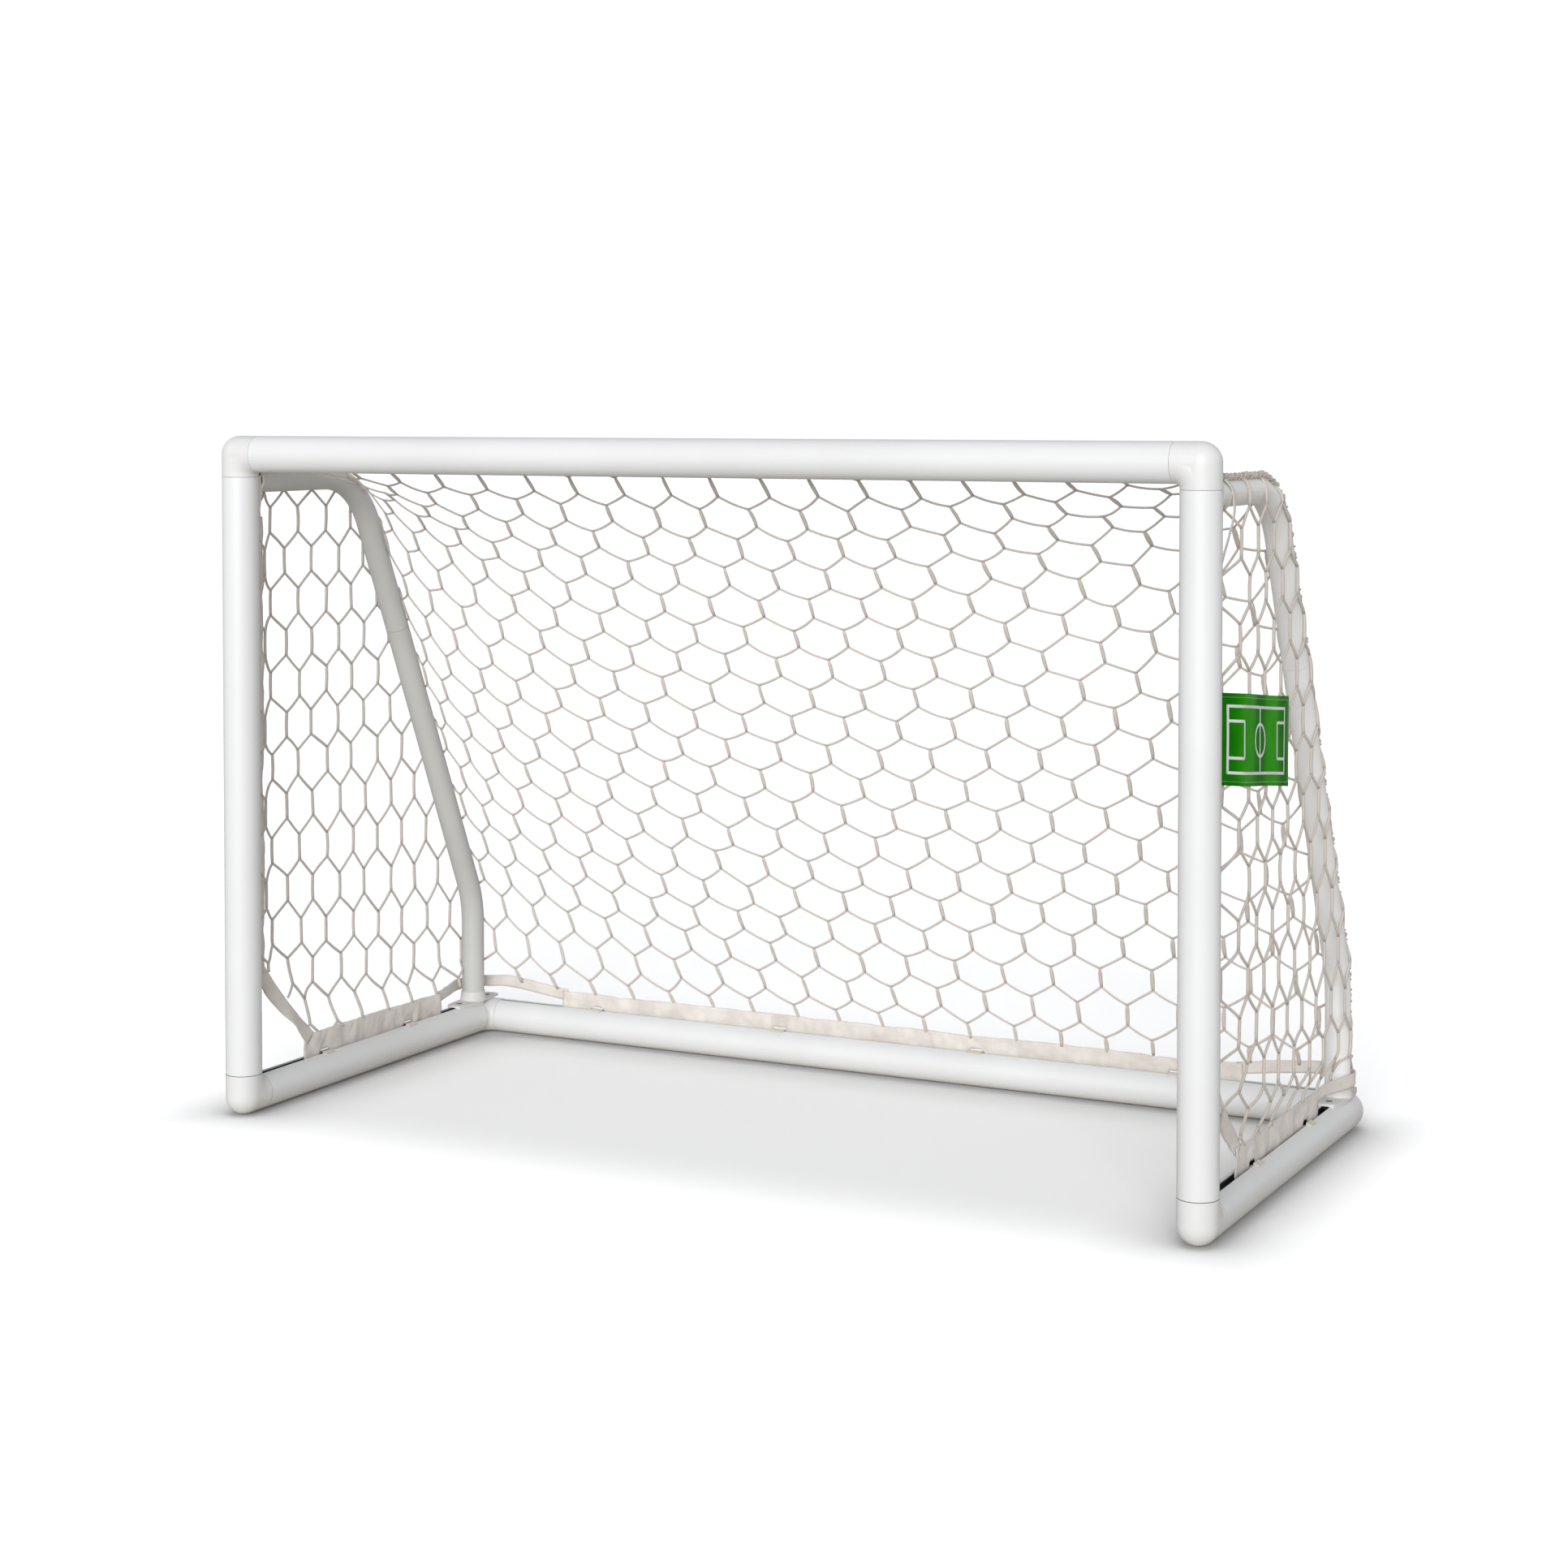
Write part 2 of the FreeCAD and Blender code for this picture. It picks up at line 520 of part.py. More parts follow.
def main():
    os.makedirs("parts", exist_ok=True)
    frames = tube_frames()
    tube_start = elbow_leg + seam_gap
    screws = []

    for name, (corner, along, groove, distance) in frames.items():
        length = distance - 2 * tube_start
        holes = (joint_screw_inset, length - joint_screw_inset)
        tube = grooved_tube(length, holes)
        save(name, placed(tube, corner + along * tube_start, along, groove))
        for place in holes:
            screws.append(placed(joint_screw(), corner + along * (tube_start + place), along, groove))
    save("joint_screws", Part.makeCompound(screws))

    flange_screws, nuts = [], []
    for name, side in (("left", LEFT), ("right", RIGHT)):
        x = side * half_width
        inward = AXIS_X * -side
        top_corner = Vector(x, -half_depth, top_height)
        front_corner = Vector(x, -half_depth, bar_height)
        rear_corner = Vector(x, half_depth, bar_height)

        foot_place = Vector(x, from_post(stay_foot_y), bar_height)
        stub_place = Vector(x, -half_depth, stay_stub_height)
        elbow_holes = []
        for place, along, out, offset in ((foot_place, AXIS_Y, AXIS_Z, foot_screw_offset),
                                          (stub_place, AXIS_Z, AXIS_Y, top_screw_offset)):
            low, high = place - along * offset, place + along * offset
            flange_screws += [placed(flange_screw(), low, along, out),
                              placed(flange_screw(), high, along, out)]
            nuts.append(placed(groove_nut(), low, along, out))
            elbow_holes.append(Part.makeCylinder(flange_screw_radius + 0.4, flange_screw_length,
                                                 high + out * (flange_top - flange_screw_length - 1),
                                                 out))
        rear_elbow = elbow(rear_corner, ((AXIS_Y * -1, AXIS_Z), (inward, AXIS_Z)), elbow_holes[0])
        front_elbow = elbow(front_corner, ((AXIS_Z, AXIS_Y), (AXIS_Y, AXIS_Z)), None)
        top_elbow = elbow(top_corner, ((inward, AXIS_Y), (AXIS_Z * -1, AXIS_Y)), elbow_holes[1])
        save("rear_" + name + "_elbow", rear_elbow)
        save("front_" + name + "_elbow", front_elbow)
        save("top_" + name + "_elbow", top_elbow)
        foot_flange = flange(foot_flange_half_length, foot_screw_offset, foot_hub_height,
                             bar_length - stay_foot_y - bend_start, side)
        top_flange = flange(top_flange_half_length, top_screw_offset, top_hub_height,
                            top_height - stay_stub_height - bend_start, -side)
        save(name + "_foot_flange", placed(foot_flange, foot_place, AXIS_Y, AXIS_Z))
        save(name + "_top_flange", placed(top_flange, stub_place, AXIS_Z, AXIS_Y))

        upper, lower, sleeve = stay_tubes(side)
        save(name + "_stay_upper", upper)
        save(name + "_stay_lower", lower)
        save(name + "_stay_sleeve", sleeve)

        bar_frame, post_frame = frames[name + "_side_bar"], frames[name + "_post"]
        bar_clips = left_bar_clips if side == LEFT else right_bar_clips
        save(name + "_bar_rod", placed(net_rod(tube_start + 4, 664.0), *bar_frame[:3]))
        save(name + "_post_rod", placed(net_rod(tube_start + 4, 1058.0 - bar_height), *post_frame[:3]))
        # the clips' tabs are on the goal's inner side, except on the right side bar
        post_clip = net_clip()
        if side == LEFT:
            post_clip.rotate(Vector(0, 0, 0), AXIS_Z, 180)
        save(name + "_bar_clips", Part.makeCompound(
            [placed(net_clip(), along_tube(bar_frame, place), *bar_frame[1:3]) for place in bar_clips]))
        save(name + "_post_clips", Part.makeCompound(
            [placed(post_clip, along_tube(post_frame, place - bar_height), *post_frame[1:3])
             for place in post_clips]))
        save(name + "_net_binding", side_binding(side, bar_clips))
        save(name + "_side_net", side_net(side))
        save(name + "_border_cord", border_cord(side))
    save("flange_screws", Part.makeCompound(flange_screws))
    save("groove_nuts", Part.makeCompound(nuts))

    for name, clips, hem_height in (("crossbar", crossbar_clips, 20.0), ("rear_bar", rear_bar_clips, 28.0)):
        corner, along, groove, distance = frames[name]
        middle = corner + along * half_width
        save(name + "_rod", placed(net_rod(-half_width + tube_start + 4, half_width - tube_start - 4),
                                   middle, along, groove))
        clip = net_clip()
        if name == "crossbar":
            clip.rotate(Vector(0, 0, 0), AXIS_Z, 180)
        save(name + "_clips", Part.makeCompound(
            [placed(clip, middle + along * place, along, groove) for place in clips]))
        save(name + "_net_hem", placed(straight_hem(2 * half_width - 96, clips, hem_height),
                                       middle, along, groove))

    columns = [side * share for side in (LEFT, RIGHT) for share in (1, 0.965, 0.9, 0.82, 0.7, 0.45)]
    columns = sorted(columns + [0])
    rows = [step / 30 for step in range(31)]
    save("rear_net", draped_sheet(rear_net_point, columns, rows, net_thickness))
    save("banner", banner())


main()
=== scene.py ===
"""Looks of the soccer goal: painted tubes, net, edge ropes, tapes and banner around the CAD frame."""
import json
import math
import random

import bpy
import numpy as np
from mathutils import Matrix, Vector, noise


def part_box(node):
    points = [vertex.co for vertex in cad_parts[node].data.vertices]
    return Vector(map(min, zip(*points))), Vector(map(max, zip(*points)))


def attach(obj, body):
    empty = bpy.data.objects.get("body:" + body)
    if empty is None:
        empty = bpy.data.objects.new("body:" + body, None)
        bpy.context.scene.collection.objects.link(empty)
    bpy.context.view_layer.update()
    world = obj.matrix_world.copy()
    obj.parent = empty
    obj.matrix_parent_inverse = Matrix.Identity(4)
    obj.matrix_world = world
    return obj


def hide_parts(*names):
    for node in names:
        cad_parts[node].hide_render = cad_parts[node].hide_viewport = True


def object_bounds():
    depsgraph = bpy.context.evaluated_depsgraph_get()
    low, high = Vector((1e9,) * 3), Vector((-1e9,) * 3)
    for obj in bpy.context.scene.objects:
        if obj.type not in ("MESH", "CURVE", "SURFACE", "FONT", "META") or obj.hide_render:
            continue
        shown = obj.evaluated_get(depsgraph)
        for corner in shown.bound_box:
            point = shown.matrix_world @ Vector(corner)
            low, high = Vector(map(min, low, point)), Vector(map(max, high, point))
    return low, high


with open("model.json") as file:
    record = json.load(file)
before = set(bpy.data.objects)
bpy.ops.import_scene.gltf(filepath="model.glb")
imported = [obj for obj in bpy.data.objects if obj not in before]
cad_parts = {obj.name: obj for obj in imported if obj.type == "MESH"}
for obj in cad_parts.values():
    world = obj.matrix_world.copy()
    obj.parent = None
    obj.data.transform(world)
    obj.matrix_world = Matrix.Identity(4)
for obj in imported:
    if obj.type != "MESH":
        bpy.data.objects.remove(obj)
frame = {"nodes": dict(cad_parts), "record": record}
nodes = frame["nodes"]
cad_low, cad_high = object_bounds()
seeded = random.Random(5)

# ---- places read from the frame, in metres ----
LEFT, RIGHT = -1, 1
SIDES = (("left", LEFT), ("right", RIGHT))


def centre(node):
    low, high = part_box(node)
    return (low + high) / 2


half_width = centre("right_post").x             # post axis
post_y = centre("right_post").y
bar_height = centre("right_side_bar").z         # axis of the ground bars
top_height = centre("crossbar").z
tube_radius = centre("right_side_bar").z
rear_back = centre("rear_bar").y - post_y       # rear bar axis behind the post axis

# stay: its line runs back behind the post, down a slope and into its foot
stay_radius = 0.022
stub_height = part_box("right_stay_upper")[1].z - stay_radius
foot_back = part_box("right_stay_lower")[1].y - stay_radius - post_y
top_corner_back = 0.345
foot_bend_height = 0.267
top_bend, foot_bend = 0.150, 0.200
slope = (foot_back - top_corner_back) / (stub_height - foot_bend_height)

elbow_leg = 0.040             # corner to the end of an elbow's leg
# near-black painted shade inside the tubes' grooves and on the elbows' plugs inside the tubes
painted_shade_inside = (0.035, 0.035, 0.037)

# net
net_gap = 0.0245              # stay axis to the middle of a strand that lies on the stay
cord_side, cord_out = 0.012, 0.0243    # border cord, out of the stay's axis sideways and outwards
wrapped_width = 0.027         # how far outside the stay's axis the side net ends
cord_clear = 0.0236           # least distance of the cord from the stay's axis
cord_radius = 0.0034
knot_pitch, lacing_pitch = 0.0385, 0.0193
rear_columns = 40             # half cells across the rear net
rear_rows = 17
first_row = -1.8              # row number at the crossbar
rows_down = 19.0              # rows from the crossbar to the rear bar
strut_half = 0.294            # half of an upright strand, in rows
side_pitch = 0.041            # half a cell of the side net
side_row = 0.0746             # height of a row of the side net
side_front = 0.118            # column 0 of the side net, behind the post axis
side_strut_half = 0.3         # half of an upright strand, in rows
tape_front = 0.052            # where the side net meets its tape, behind the post axis
hem_top = 0.104               # where it meets the hem on the side bar
net_rise = 0.07               # way from the tape over which it comes out as far as the stay
tape_corner_high = 0.262      # the tape leaves the post here and crosses to the side bar
tape_corner_back = 0.206


def from_post(x, back, z):
    """Place given by its distance behind the post axis."""
    return Vector((x, post_y + back, z))


def smooth_step(value):
    value = min(1.0, max(0.0, value))
    return value * value * (3 - 2 * value)


def wander(place, scale, seed=0.0):
    """Smooth noise from -1 to 1."""
    return noise.noise(Vector(place) * scale + Vector((seed, seed * 1.7, 4.1)))


# ---- lines in the stay's plane, as (back, height) points ----

class PlaneLine:
    """Even points along straight runs joined by arcs."""

    def __init__(self, corners, radii, step=0.004):
        corners = [np.array(c) for c in corners]
        dense = [corners[0]]
        for before, corner, after, radius in zip(corners, corners[1:], corners[2:], radii):
            inward = (before - corner) / np.linalg.norm(before - corner)
            outward = (after - corner) / np.linalg.norm(after - corner)
            half_turn = (math.pi - math.acos(float(inward @ outward))) / 2
            middle = (inward + outward) / np.linalg.norm(inward + outward)
            hub = corner + middle * radius / math.cos(half_turn)
            spoke = corner + inward * radius * math.tan(half_turn) - hub
            turn = math.copysign(2 * half_turn, spoke[0] * outward[1] - spoke[1] * outward[0])
            for i in range(25):
                c, s = math.cos(turn * i / 24), math.sin(turn * i / 24)
                dense.append(hub + np.array([c * spoke[0] - s * spoke[1], s * spoke[0] + c * spoke[1]]))
        dense.append(corners[-1])
        reached = np.concatenate([[0], np.cumsum(np.linalg.norm(np.diff(dense, axis=0), axis=1))])
        self.length = float(reached[-1])
        wanted = np.linspace(0, self.length, int(self.length / step) + 2)
        self.points = np.stack([np.interp(wanted, reached, np.array(dense)[:, i]) for i in (0, 1)], 1)
        ahead = np.gradient(self.points, axis=0)
        ahead /= np.linalg.norm(ahead, axis=1)[:, None]
        self.out = np.stack([-ahead[:, 1], ahead[:, 0]], 1)
        if self.out[len(wanted) // 2, 0] < 0:
            self.out *= -1

    def at(self, share):
        """Point and outward normal at a share of the length."""
        place = min(1.0, max(0.0, share)) * (len(self.points) - 1)
        i = min(int(place), len(self.points) - 2)
        f = place - i
        return (self.points[i] * (1 - f) + self.points[i + 1] * f,
                self.out[i] * (1 - f) + self.out[i + 1] * f)

    def nearest(self, back, z):
        """Nearest point of the line, and its outward normal."""
        gaps = self.points - np.array([back, z])
        i = int(np.argmin((gaps ** 2).sum(1)))
        return self.points[i], self.out[i]


def along_stay(offset, start, end, lead_in=(), lead_out=()):
    """Line that keeps an offset outside the stay's axis."""
    top_turn = math.atan2(1, slope) / 2
    foot_turn = math.atan(slope) / 2
    top = (top_corner_back + offset * math.tan(top_turn), stub_height + offset)
    foot = (foot_back + offset, foot_bend_height + offset * math.tan(foot_turn))
    corners = [*lead_in, (start, top[1]), top, foot, (foot[0], end), *lead_out]
    radii = ([0.001] * len(lead_in) + [top_bend + offset, foot_bend + offset]
             + [0.001] * len(lead_out))
    return PlaneLine(corners, radii)


stay_axis = along_stay(0.0, 0.037, 0.065)
cord_line = along_stay(cord_out, 0.060, 0.112)
side_net_end = along_stay(wrapped_width, 0.060, 0.112)
net_edge = along_stay(net_gap, 0.090, 0.120, lead_in=[(0.052, 1.160)], lead_out=[(0.782, 0.104)])


def off_the_stay(place, gap=net_gap):
    """Moves a place that is inside a stay out to its surface."""
    side = math.copysign(1, place.x)
    if abs(place.x) < half_width - gap:
        return place
    nearest, _ = stay_axis.nearest(place.y - post_y, place.z)
    hub = from_post(side * half_width, *nearest)
    spoke = place - hub
    if spoke.length >= gap or spoke.length < 1e-6:
        return place
    return hub + spoke * (gap / spoke.length)


# ---- materials ----

class Shader:
    """A principled material with helpers for its texture nodes."""

    def __init__(self, name, colour, roughness, **sockets):
        self.material = bpy.data.materials.new(name)
        self.material.use_nodes = True
        self.tree = self.material.node_tree
        self.base = self.tree.nodes["Principled BSDF"]
        self.colour = (*colour, 1)
        self.base.inputs["Base Color"].default_value = self.colour
        self.base.inputs["Roughness"].default_value = roughness
        for socket, value in sockets.items():
            self.base.inputs[socket.replace("_", " ")].default_value = value

    def node(self, kind, settings=(), **inputs):
        made = self.tree.nodes.new(kind)
        for key, value in dict(settings).items():
            setattr(made, key, value)
        for socket, value in inputs.items():
            target = made.inputs[int(socket[1:])] if socket[0] == "i" and socket[1:].isdigit() \
                else made.inputs[socket.replace("_", " ")]
            if isinstance(value, bpy.types.NodeSocket):
                self.tree.links.new(value, target)
            else:
                target.default_value = value
        return made

    def place(self, kind="Object"):
        return self.node("ShaderNodeTexCoord").outputs[kind]

    def noise(self, scale, detail=3.0, vector=None):
        return self.node("ShaderNodeTexNoise", Vector=vector or self.place(), Scale=scale,
                         Detail=detail).outputs["Fac"]

    def spread(self, value, low, high, start=0.3, end=0.7):
        """Maps a texture's middle range to low..high."""
        return self.node("ShaderNodeMapRange", i0=value, i1=start, i2=end, i3=low,
                         i4=high).outputs[0]

    def shade(self, factor, darker):
        """Base colour that turns to a darker tone where factor is high."""
        mix = self.node("ShaderNodeMix", {"data_type": "RGBA"})
        self.tree.links.new(factor, mix.inputs["Factor"])
        colours = [s for s in mix.inputs if s.type == "RGBA"]
        colours[0].default_value = self.colour
        colours[1].default_value = (*darker, 1)
        result = next(s for s in mix.outputs if s.type == "RGBA")
        self.tree.links.new(result, self.base.inputs["Base Color"])

    def cover(self, mask, colour):
        """Another base colour where the mask is 1."""
        mix = self.node("ShaderNodeMix", {"data_type": "RGBA"})
        self.tree.links.new(mask, mix.inputs["Factor"])
        colours = [s for s in mix.inputs if s.type == "RGBA"]
        self.tree.links.new(self.base.inputs["Base Color"].links[0].from_socket, colours[0])
        colours[1].default_value = (*colour, 1)
        result = next(s for s in mix.outputs if s.type == "RGBA")
        self.tree.links.new(result, self.base.inputs["Base Color"])

    def inside_tube(self, centre_place, direction):
        """1 on what is nearer than the tube's skin to its axis."""
        away = self.node("ShaderNodeVectorMath", {"operation": "SUBTRACT"}, i0=self.place(),
                         i1=centre_place)
        radial = self.node("ShaderNodeVectorMath", {"operation": "MULTIPLY"}, i0=away.outputs[0],
                           i1=[1 - abs(d) for d in direction])
        reach = self.node("ShaderNodeVectorMath", {"operation": "LENGTH"}, i0=radial.outputs[0])
        return self.spread(reach.outputs["Value"], 1.0, 0.0, tube_radius - 0.0026, tube_radius - 0.0018)

    def past(self, corner, way):
        """1 beyond the end of an elbow's leg."""
        away = self.node("ShaderNodeVectorMath", {"operation": "SUBTRACT"}, i0=self.place(), i1=corner)
        reach = self.node("ShaderNodeVectorMath", {"operation": "DOT_PRODUCT"}, i0=away.outputs[0],
                          i1=way)
        return self.spread(reach.outputs["Value"], 0.0, 1.0, elbow_leg, elbow_leg + 0.0002)

    def rough(self, value):
        self.tree.links.new(value, self.base.inputs["Roughness"])

    def bump(self, layers):
        """Stacks (height, distance) layers into one normal."""
        normal = None
        for height, distance in layers:
            made = self.node("ShaderNodeBump", Height=height, Distance=distance, Strength=1.0)
            if normal:
                self.tree.links.new(normal, made.inputs["Normal"])
            normal = made.outputs["Normal"]
        self.tree.links.new(normal, self.base.inputs["Normal"])

    def math(self, operation, a, b=0.0):
        return self.node("ShaderNodeMath", {"operation": operation}, i0=a, i1=b).outputs[0]


def painted(name, colour, darker, roughness, axis=None):
    """Powder coat: faint orange peel and soft smudges. A tube with an axis gets near-black painted shade
    inside.
    """
    shader = Shader(name, colour, roughness, Coat_Weight=0.12, Coat_Roughness=0.25)
    shader.shade(shader.spread(shader.noise(3.0, 4.0), 0.0, 1.0, 0.45, 0.75), darker)
    if axis:
        # near-black painted shade in the groove and bore
        shader.cover(shader.inside_tube(*axis), painted_shade_inside)
    shader.rough(shader.spread(shader.noise(22.0, 5.0), roughness - 0.05, roughness + 0.08))
    shader.bump([(shader.noise(420.0, 2.0), 0.00006), (shader.noise(14.0, 2.0), 0.0002)])
    return shader.material


def moulded(name, colour, darker, roughness, grain=900.0, plugs=()):
    """Injection moulded plastic with a fine spark grain. The plugs inside the tubes get near-black
    painted shade.
    """
    shader = Shader(name, colour, roughness)
    shader.shade(shader.spread(shader.noise(9.0, 3.0), 0.0, 1.0, 0.4, 0.8), darker)
    for corner, way in plugs:
        # near-black painted shade on the plugs inside the tubes
        shader.cover(shader.past(corner, way), painted_shade_inside)
    shader.rough(shader.spread(shader.noise(60.0, 4.0), roughness - 0.06, roughness + 0.08))
    shader.bump([(shader.noise(grain, 2.0), 0.00008), (shader.noise(30.0, 2.0), 0.00015)])
    return shader.material


def metal(name, colour):
    shader = Shader(name, colour, 0.4, Metallic=0.9)
    shader.rough(shader.spread(shader.noise(300.0, 3.0), 0.3, 0.55))
    shader.bump([(shader.noise(1200.0, 2.0), 0.00005)])
    return shader.material


def braided(name, colour, darker, pitch):
    """Knitted twine: crossed strands along the UVs, which are in metres, with painted shade in the
    grooves between them.
    """
    shader = Shader(name, colour, 0.75, Sheen_Weight=0.25, Sheen_Roughness=0.5)
    uv = shader.node("ShaderNodeSeparateXYZ", Vector=shader.place("UV"))
    around, along = uv.outputs["X"], uv.outputs["Y"]
    turn = 2 * math.pi / pitch
    waves = [shader.math("SINE", shader.math("MULTIPLY", shader.math(way, along, around), turn))
             for way in ("ADD", "SUBTRACT")]
    weave = shader.math("MAXIMUM", *waves)
    fuzz = shader.noise(1500.0, 4.0)
    # painted shade: darker where the weave is low, in the grooves between the crossed strands
    shader.shade(shader.spread(weave, 0.9, 0.0, -0.4, 0.9), darker)
    shader.rough(shader.spread(fuzz, 0.65, 0.9))
    shader.bump([(weave, 0.0004), (fuzz, 0.00015)])
    return shader.material


def woven(name, colour, darker, thread, roughness=0.7, depth=0.00012, painted_sheen_spacing=None, **sockets):
    """Plain weave along the UVs, which are in metres; the band spacing argument gives darker bands of
    painted shade between lighter stripes of painted sheen.
    """
    shader = Shader(name, colour, roughness, **sockets)
    uv = shader.node("ShaderNodeSeparateXYZ", Vector=shader.place("UV"))
    turn = 2 * math.pi / thread
    ribs = [shader.math("SINE", shader.math("MULTIPLY", uv.outputs[axis], turn)) for axis in ("X", "Y")]
    weave = shader.math("MULTIPLY", *ribs)
    cloud = shader.noise(25.0, 4.0)
    if painted_sheen_spacing:
        # darker bands across the cloth are painted shade between stripes of painted satin sheen, on top
        # of a random cloudy tone
        band = shader.math("SINE", shader.math("MULTIPLY", uv.outputs["X"], 2 * math.pi / painted_sheen_spacing))
        cover = shader.math("ADD", shader.spread(band, 0.0, 0.8, -0.6, 1.0),
                            shader.spread(cloud, 0.0, 0.2, 0.3, 0.8))
        shader.shade(cover, darker)
    else:
        shader.shade(shader.spread(cloud, 0.0, 1.0, 0.35, 0.8), darker)
    shader.rough(shader.spread(cloud, roughness - 0.07, roughness + 0.1))
    shader.bump([(weave, depth), (cloud, 0.0008)])
    return shader.material


TUBE_COLOURS = (0.80, 0.812, 0.815), (0.75, 0.762, 0.76)
ELBOW_COLOURS = (0.785, 0.788, 0.782), (0.73, 0.732, 0.722)
# one stay paint in two tones: the left stay's darker tone is painted shade, the right stay's lighter tone
# is painted light
shaded_paint = painted("left_stay_paint", (0.62, 0.625, 0.61), (0.56, 0.565, 0.55), 0.38)
lit_paint = painted("right_stay_paint", (0.90, 0.905, 0.90), (0.84, 0.845, 0.84), 0.38)
flange_plastic = moulded("flange_plastic", (0.76, 0.75, 0.73), (0.69, 0.68, 0.66), 0.45)
screw_metal = metal("screw_metal", (0.10, 0.10, 0.10))
rod_plastic = moulded("rod_plastic", (0.34, 0.34, 0.35), (0.26, 0.26, 0.27), 0.5)
clip_plastic = moulded("clip_plastic", (0.72, 0.68, 0.60), (0.62, 0.58, 0.50), 0.4)
# the darker colour of each twine is painted shade in its braid's grooves
net_twine = braided("net_twine", (0.86, 0.79, 0.72), (0.48, 0.42, 0.36), 0.0042)
cord_twine = braided("cord_twine", (0.74, 0.68, 0.60), (0.40, 0.35, 0.30), 0.0050)
tape_cloth = woven("tape_cloth", (0.84, 0.79, 0.745), (0.68, 0.62, 0.57), 0.0016, 0.50, Sheen_Weight=0.3)
# green banner with bands of painted sheen and shade across it, and random cloudy tone
banner_cloth = woven("banner_cloth", (0.030, 0.38, 0.001), (0.002, 0.15, 0.001), 0.0011, 0.42, 0.00005,
                     painted_sheen_spacing=0.115, Specular_IOR_Level=0.04)
banner_ink = woven("banner_ink", (0.82, 0.84, 0.84), (0.70, 0.73, 0.72), 0.0011, 0.45, 0.00005)
seam_thread = woven("seam_thread", (0.60, 0.55, 0.50), (0.45, 0.40, 0.36), 0.0008)

SLOT_MATERIALS = {"flange_white": flange_plastic, "screw_steel": screw_metal,
                  "rod_grey": rod_plastic, "clip_cream": clip_plastic}


def frame_material(node, slot):
    """Material of a CAD node, or None for the soft ones, which are replaced."""
    middle = centre(node)
    if slot == "tube_white":
        low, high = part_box(node)
        longest = max(range(3), key=lambda i: (high - low)[i])
        axis = [float(i == longest) for i in range(3)]
        return painted(node + "_paint", *TUBE_COLOURS, 0.36, axis=(middle, axis))
    if slot == "elbow_white":
        side = math.copysign(1, middle.x)
        corner = Vector((side * half_width, post_y, top_height if node.startswith("top") else bar_height))
        inward, up, back = Vector((-side, 0, 0)), Vector((0, 0, 1)), Vector((0, 1, 0))
        ways = {"top": (inward, -up), "front": (up, back), "rear": (inward, -back)}[node.split("_")[0]]
        if node.startswith("rear"):
            corner.y = post_y + rear_back
        return moulded(node + "_plastic", *ELBOW_COLOURS, 0.40, plugs=[(corner, way) for way in ways])
    if slot == "stay_white":
        # painted shade on the left stay, painted light on the right stay
        return lit_paint if middle.x > 0 else shaded_paint
    return SLOT_MATERIALS.get(slot)


for part in frame["record"]["subparts"]:
    material = frame_material(part["node"], part["material_slot"])
    if material:
        mesh = nodes[part["node"]].data
        mesh.materials.clear()
        mesh.materials.append(material)


# ---- mesh makers ----

def add_piece(name, points, faces, uvs, material, slot):
    """Smooth mesh with one UV pair per face corner."""
    mesh = bpy.data.meshes.new(name)
    mesh.from_pydata([tuple(p) for p in points], [], faces)
    layer = mesh.uv_layers.new(name="UVMap")
    layer.data.foreach_set("uv", np.array(uvs, np.float32).ravel())
    mesh.polygons.foreach_set("use_smooth", [True] * len(faces))
    mesh.materials.append(material)
    mesh.update()
    piece = bpy.data.objects.new(name, mesh)
    bpy.context.scene.collection.objects.link(piece)
    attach(piece, "root")
    return piece


class Strands:
    """Round or oval strands gathered into one mesh."""

    def __init__(self):
        self.points, self.faces, self.uvs = [], [], []

    def add(self, line, wide, thick, facing, sides=8):
        """Strand along a line; wide and thick are half sizes per point, facing is the flat side's way."""
        start = len(self.points)
        travelled = seeded.random() * 0.01
        along = []
        for i, place in enumerate(line):
            ahead = (line[min(i + 1, len(line) - 1)] - line[max(i - 1, 0)]).normalized()
            across = facing.cross(ahead).normalized()
            outward = ahead.cross(across)
            for j in range(sides):
                angle = 2 * math.pi * j / sides
                self.points.append(place + across * (math.cos(angle) * wide[i])
                                   + outward * (math.sin(angle) * thick[i]))
            if i:
                travelled += (place - line[i - 1]).length
            along.append(travelled)
        round_it = math.pi * (wide[0] + thick[0])
        for i in range(len(line) - 1):
            for j in range(sides):
                k = (j + 1) % sides
                low, high = start + i * sides, start + (i + 1) * sides
                self.faces.append((low + j, low + k, high + k, high + j))
                u, v = round_it * j / sides, round_it * (j + 1) / sides
                self.uvs += [(u, along[i]), (v, along[i]), (v, along[i + 1]), (u, along[i + 1])]
        last = start + (len(line) - 1) * sides
        self.faces.append(tuple(range(start + sides - 1, start - 1, -1)))
        self.faces.append(tuple(range(last, last + sides)))
        self.uvs += [(0.0, along[0])] * sides + [(0.0, along[-1])] * sides

    def piece(self, name, material, slot):
        return add_piece(name, self.points, self.faces, self.uvs, material, slot)


def between(a, b, count, sag=0.0, bow=Vector((0, 0, 0))):
    """Points from a to b, bowed a little."""
    line = []
    for i in range(count):
        share = i / (count - 1)
        line.append(a.lerp(b, share) + (Vector((0, 0, -sag)) + bow) * math.sin(math.pi * share))
    return line


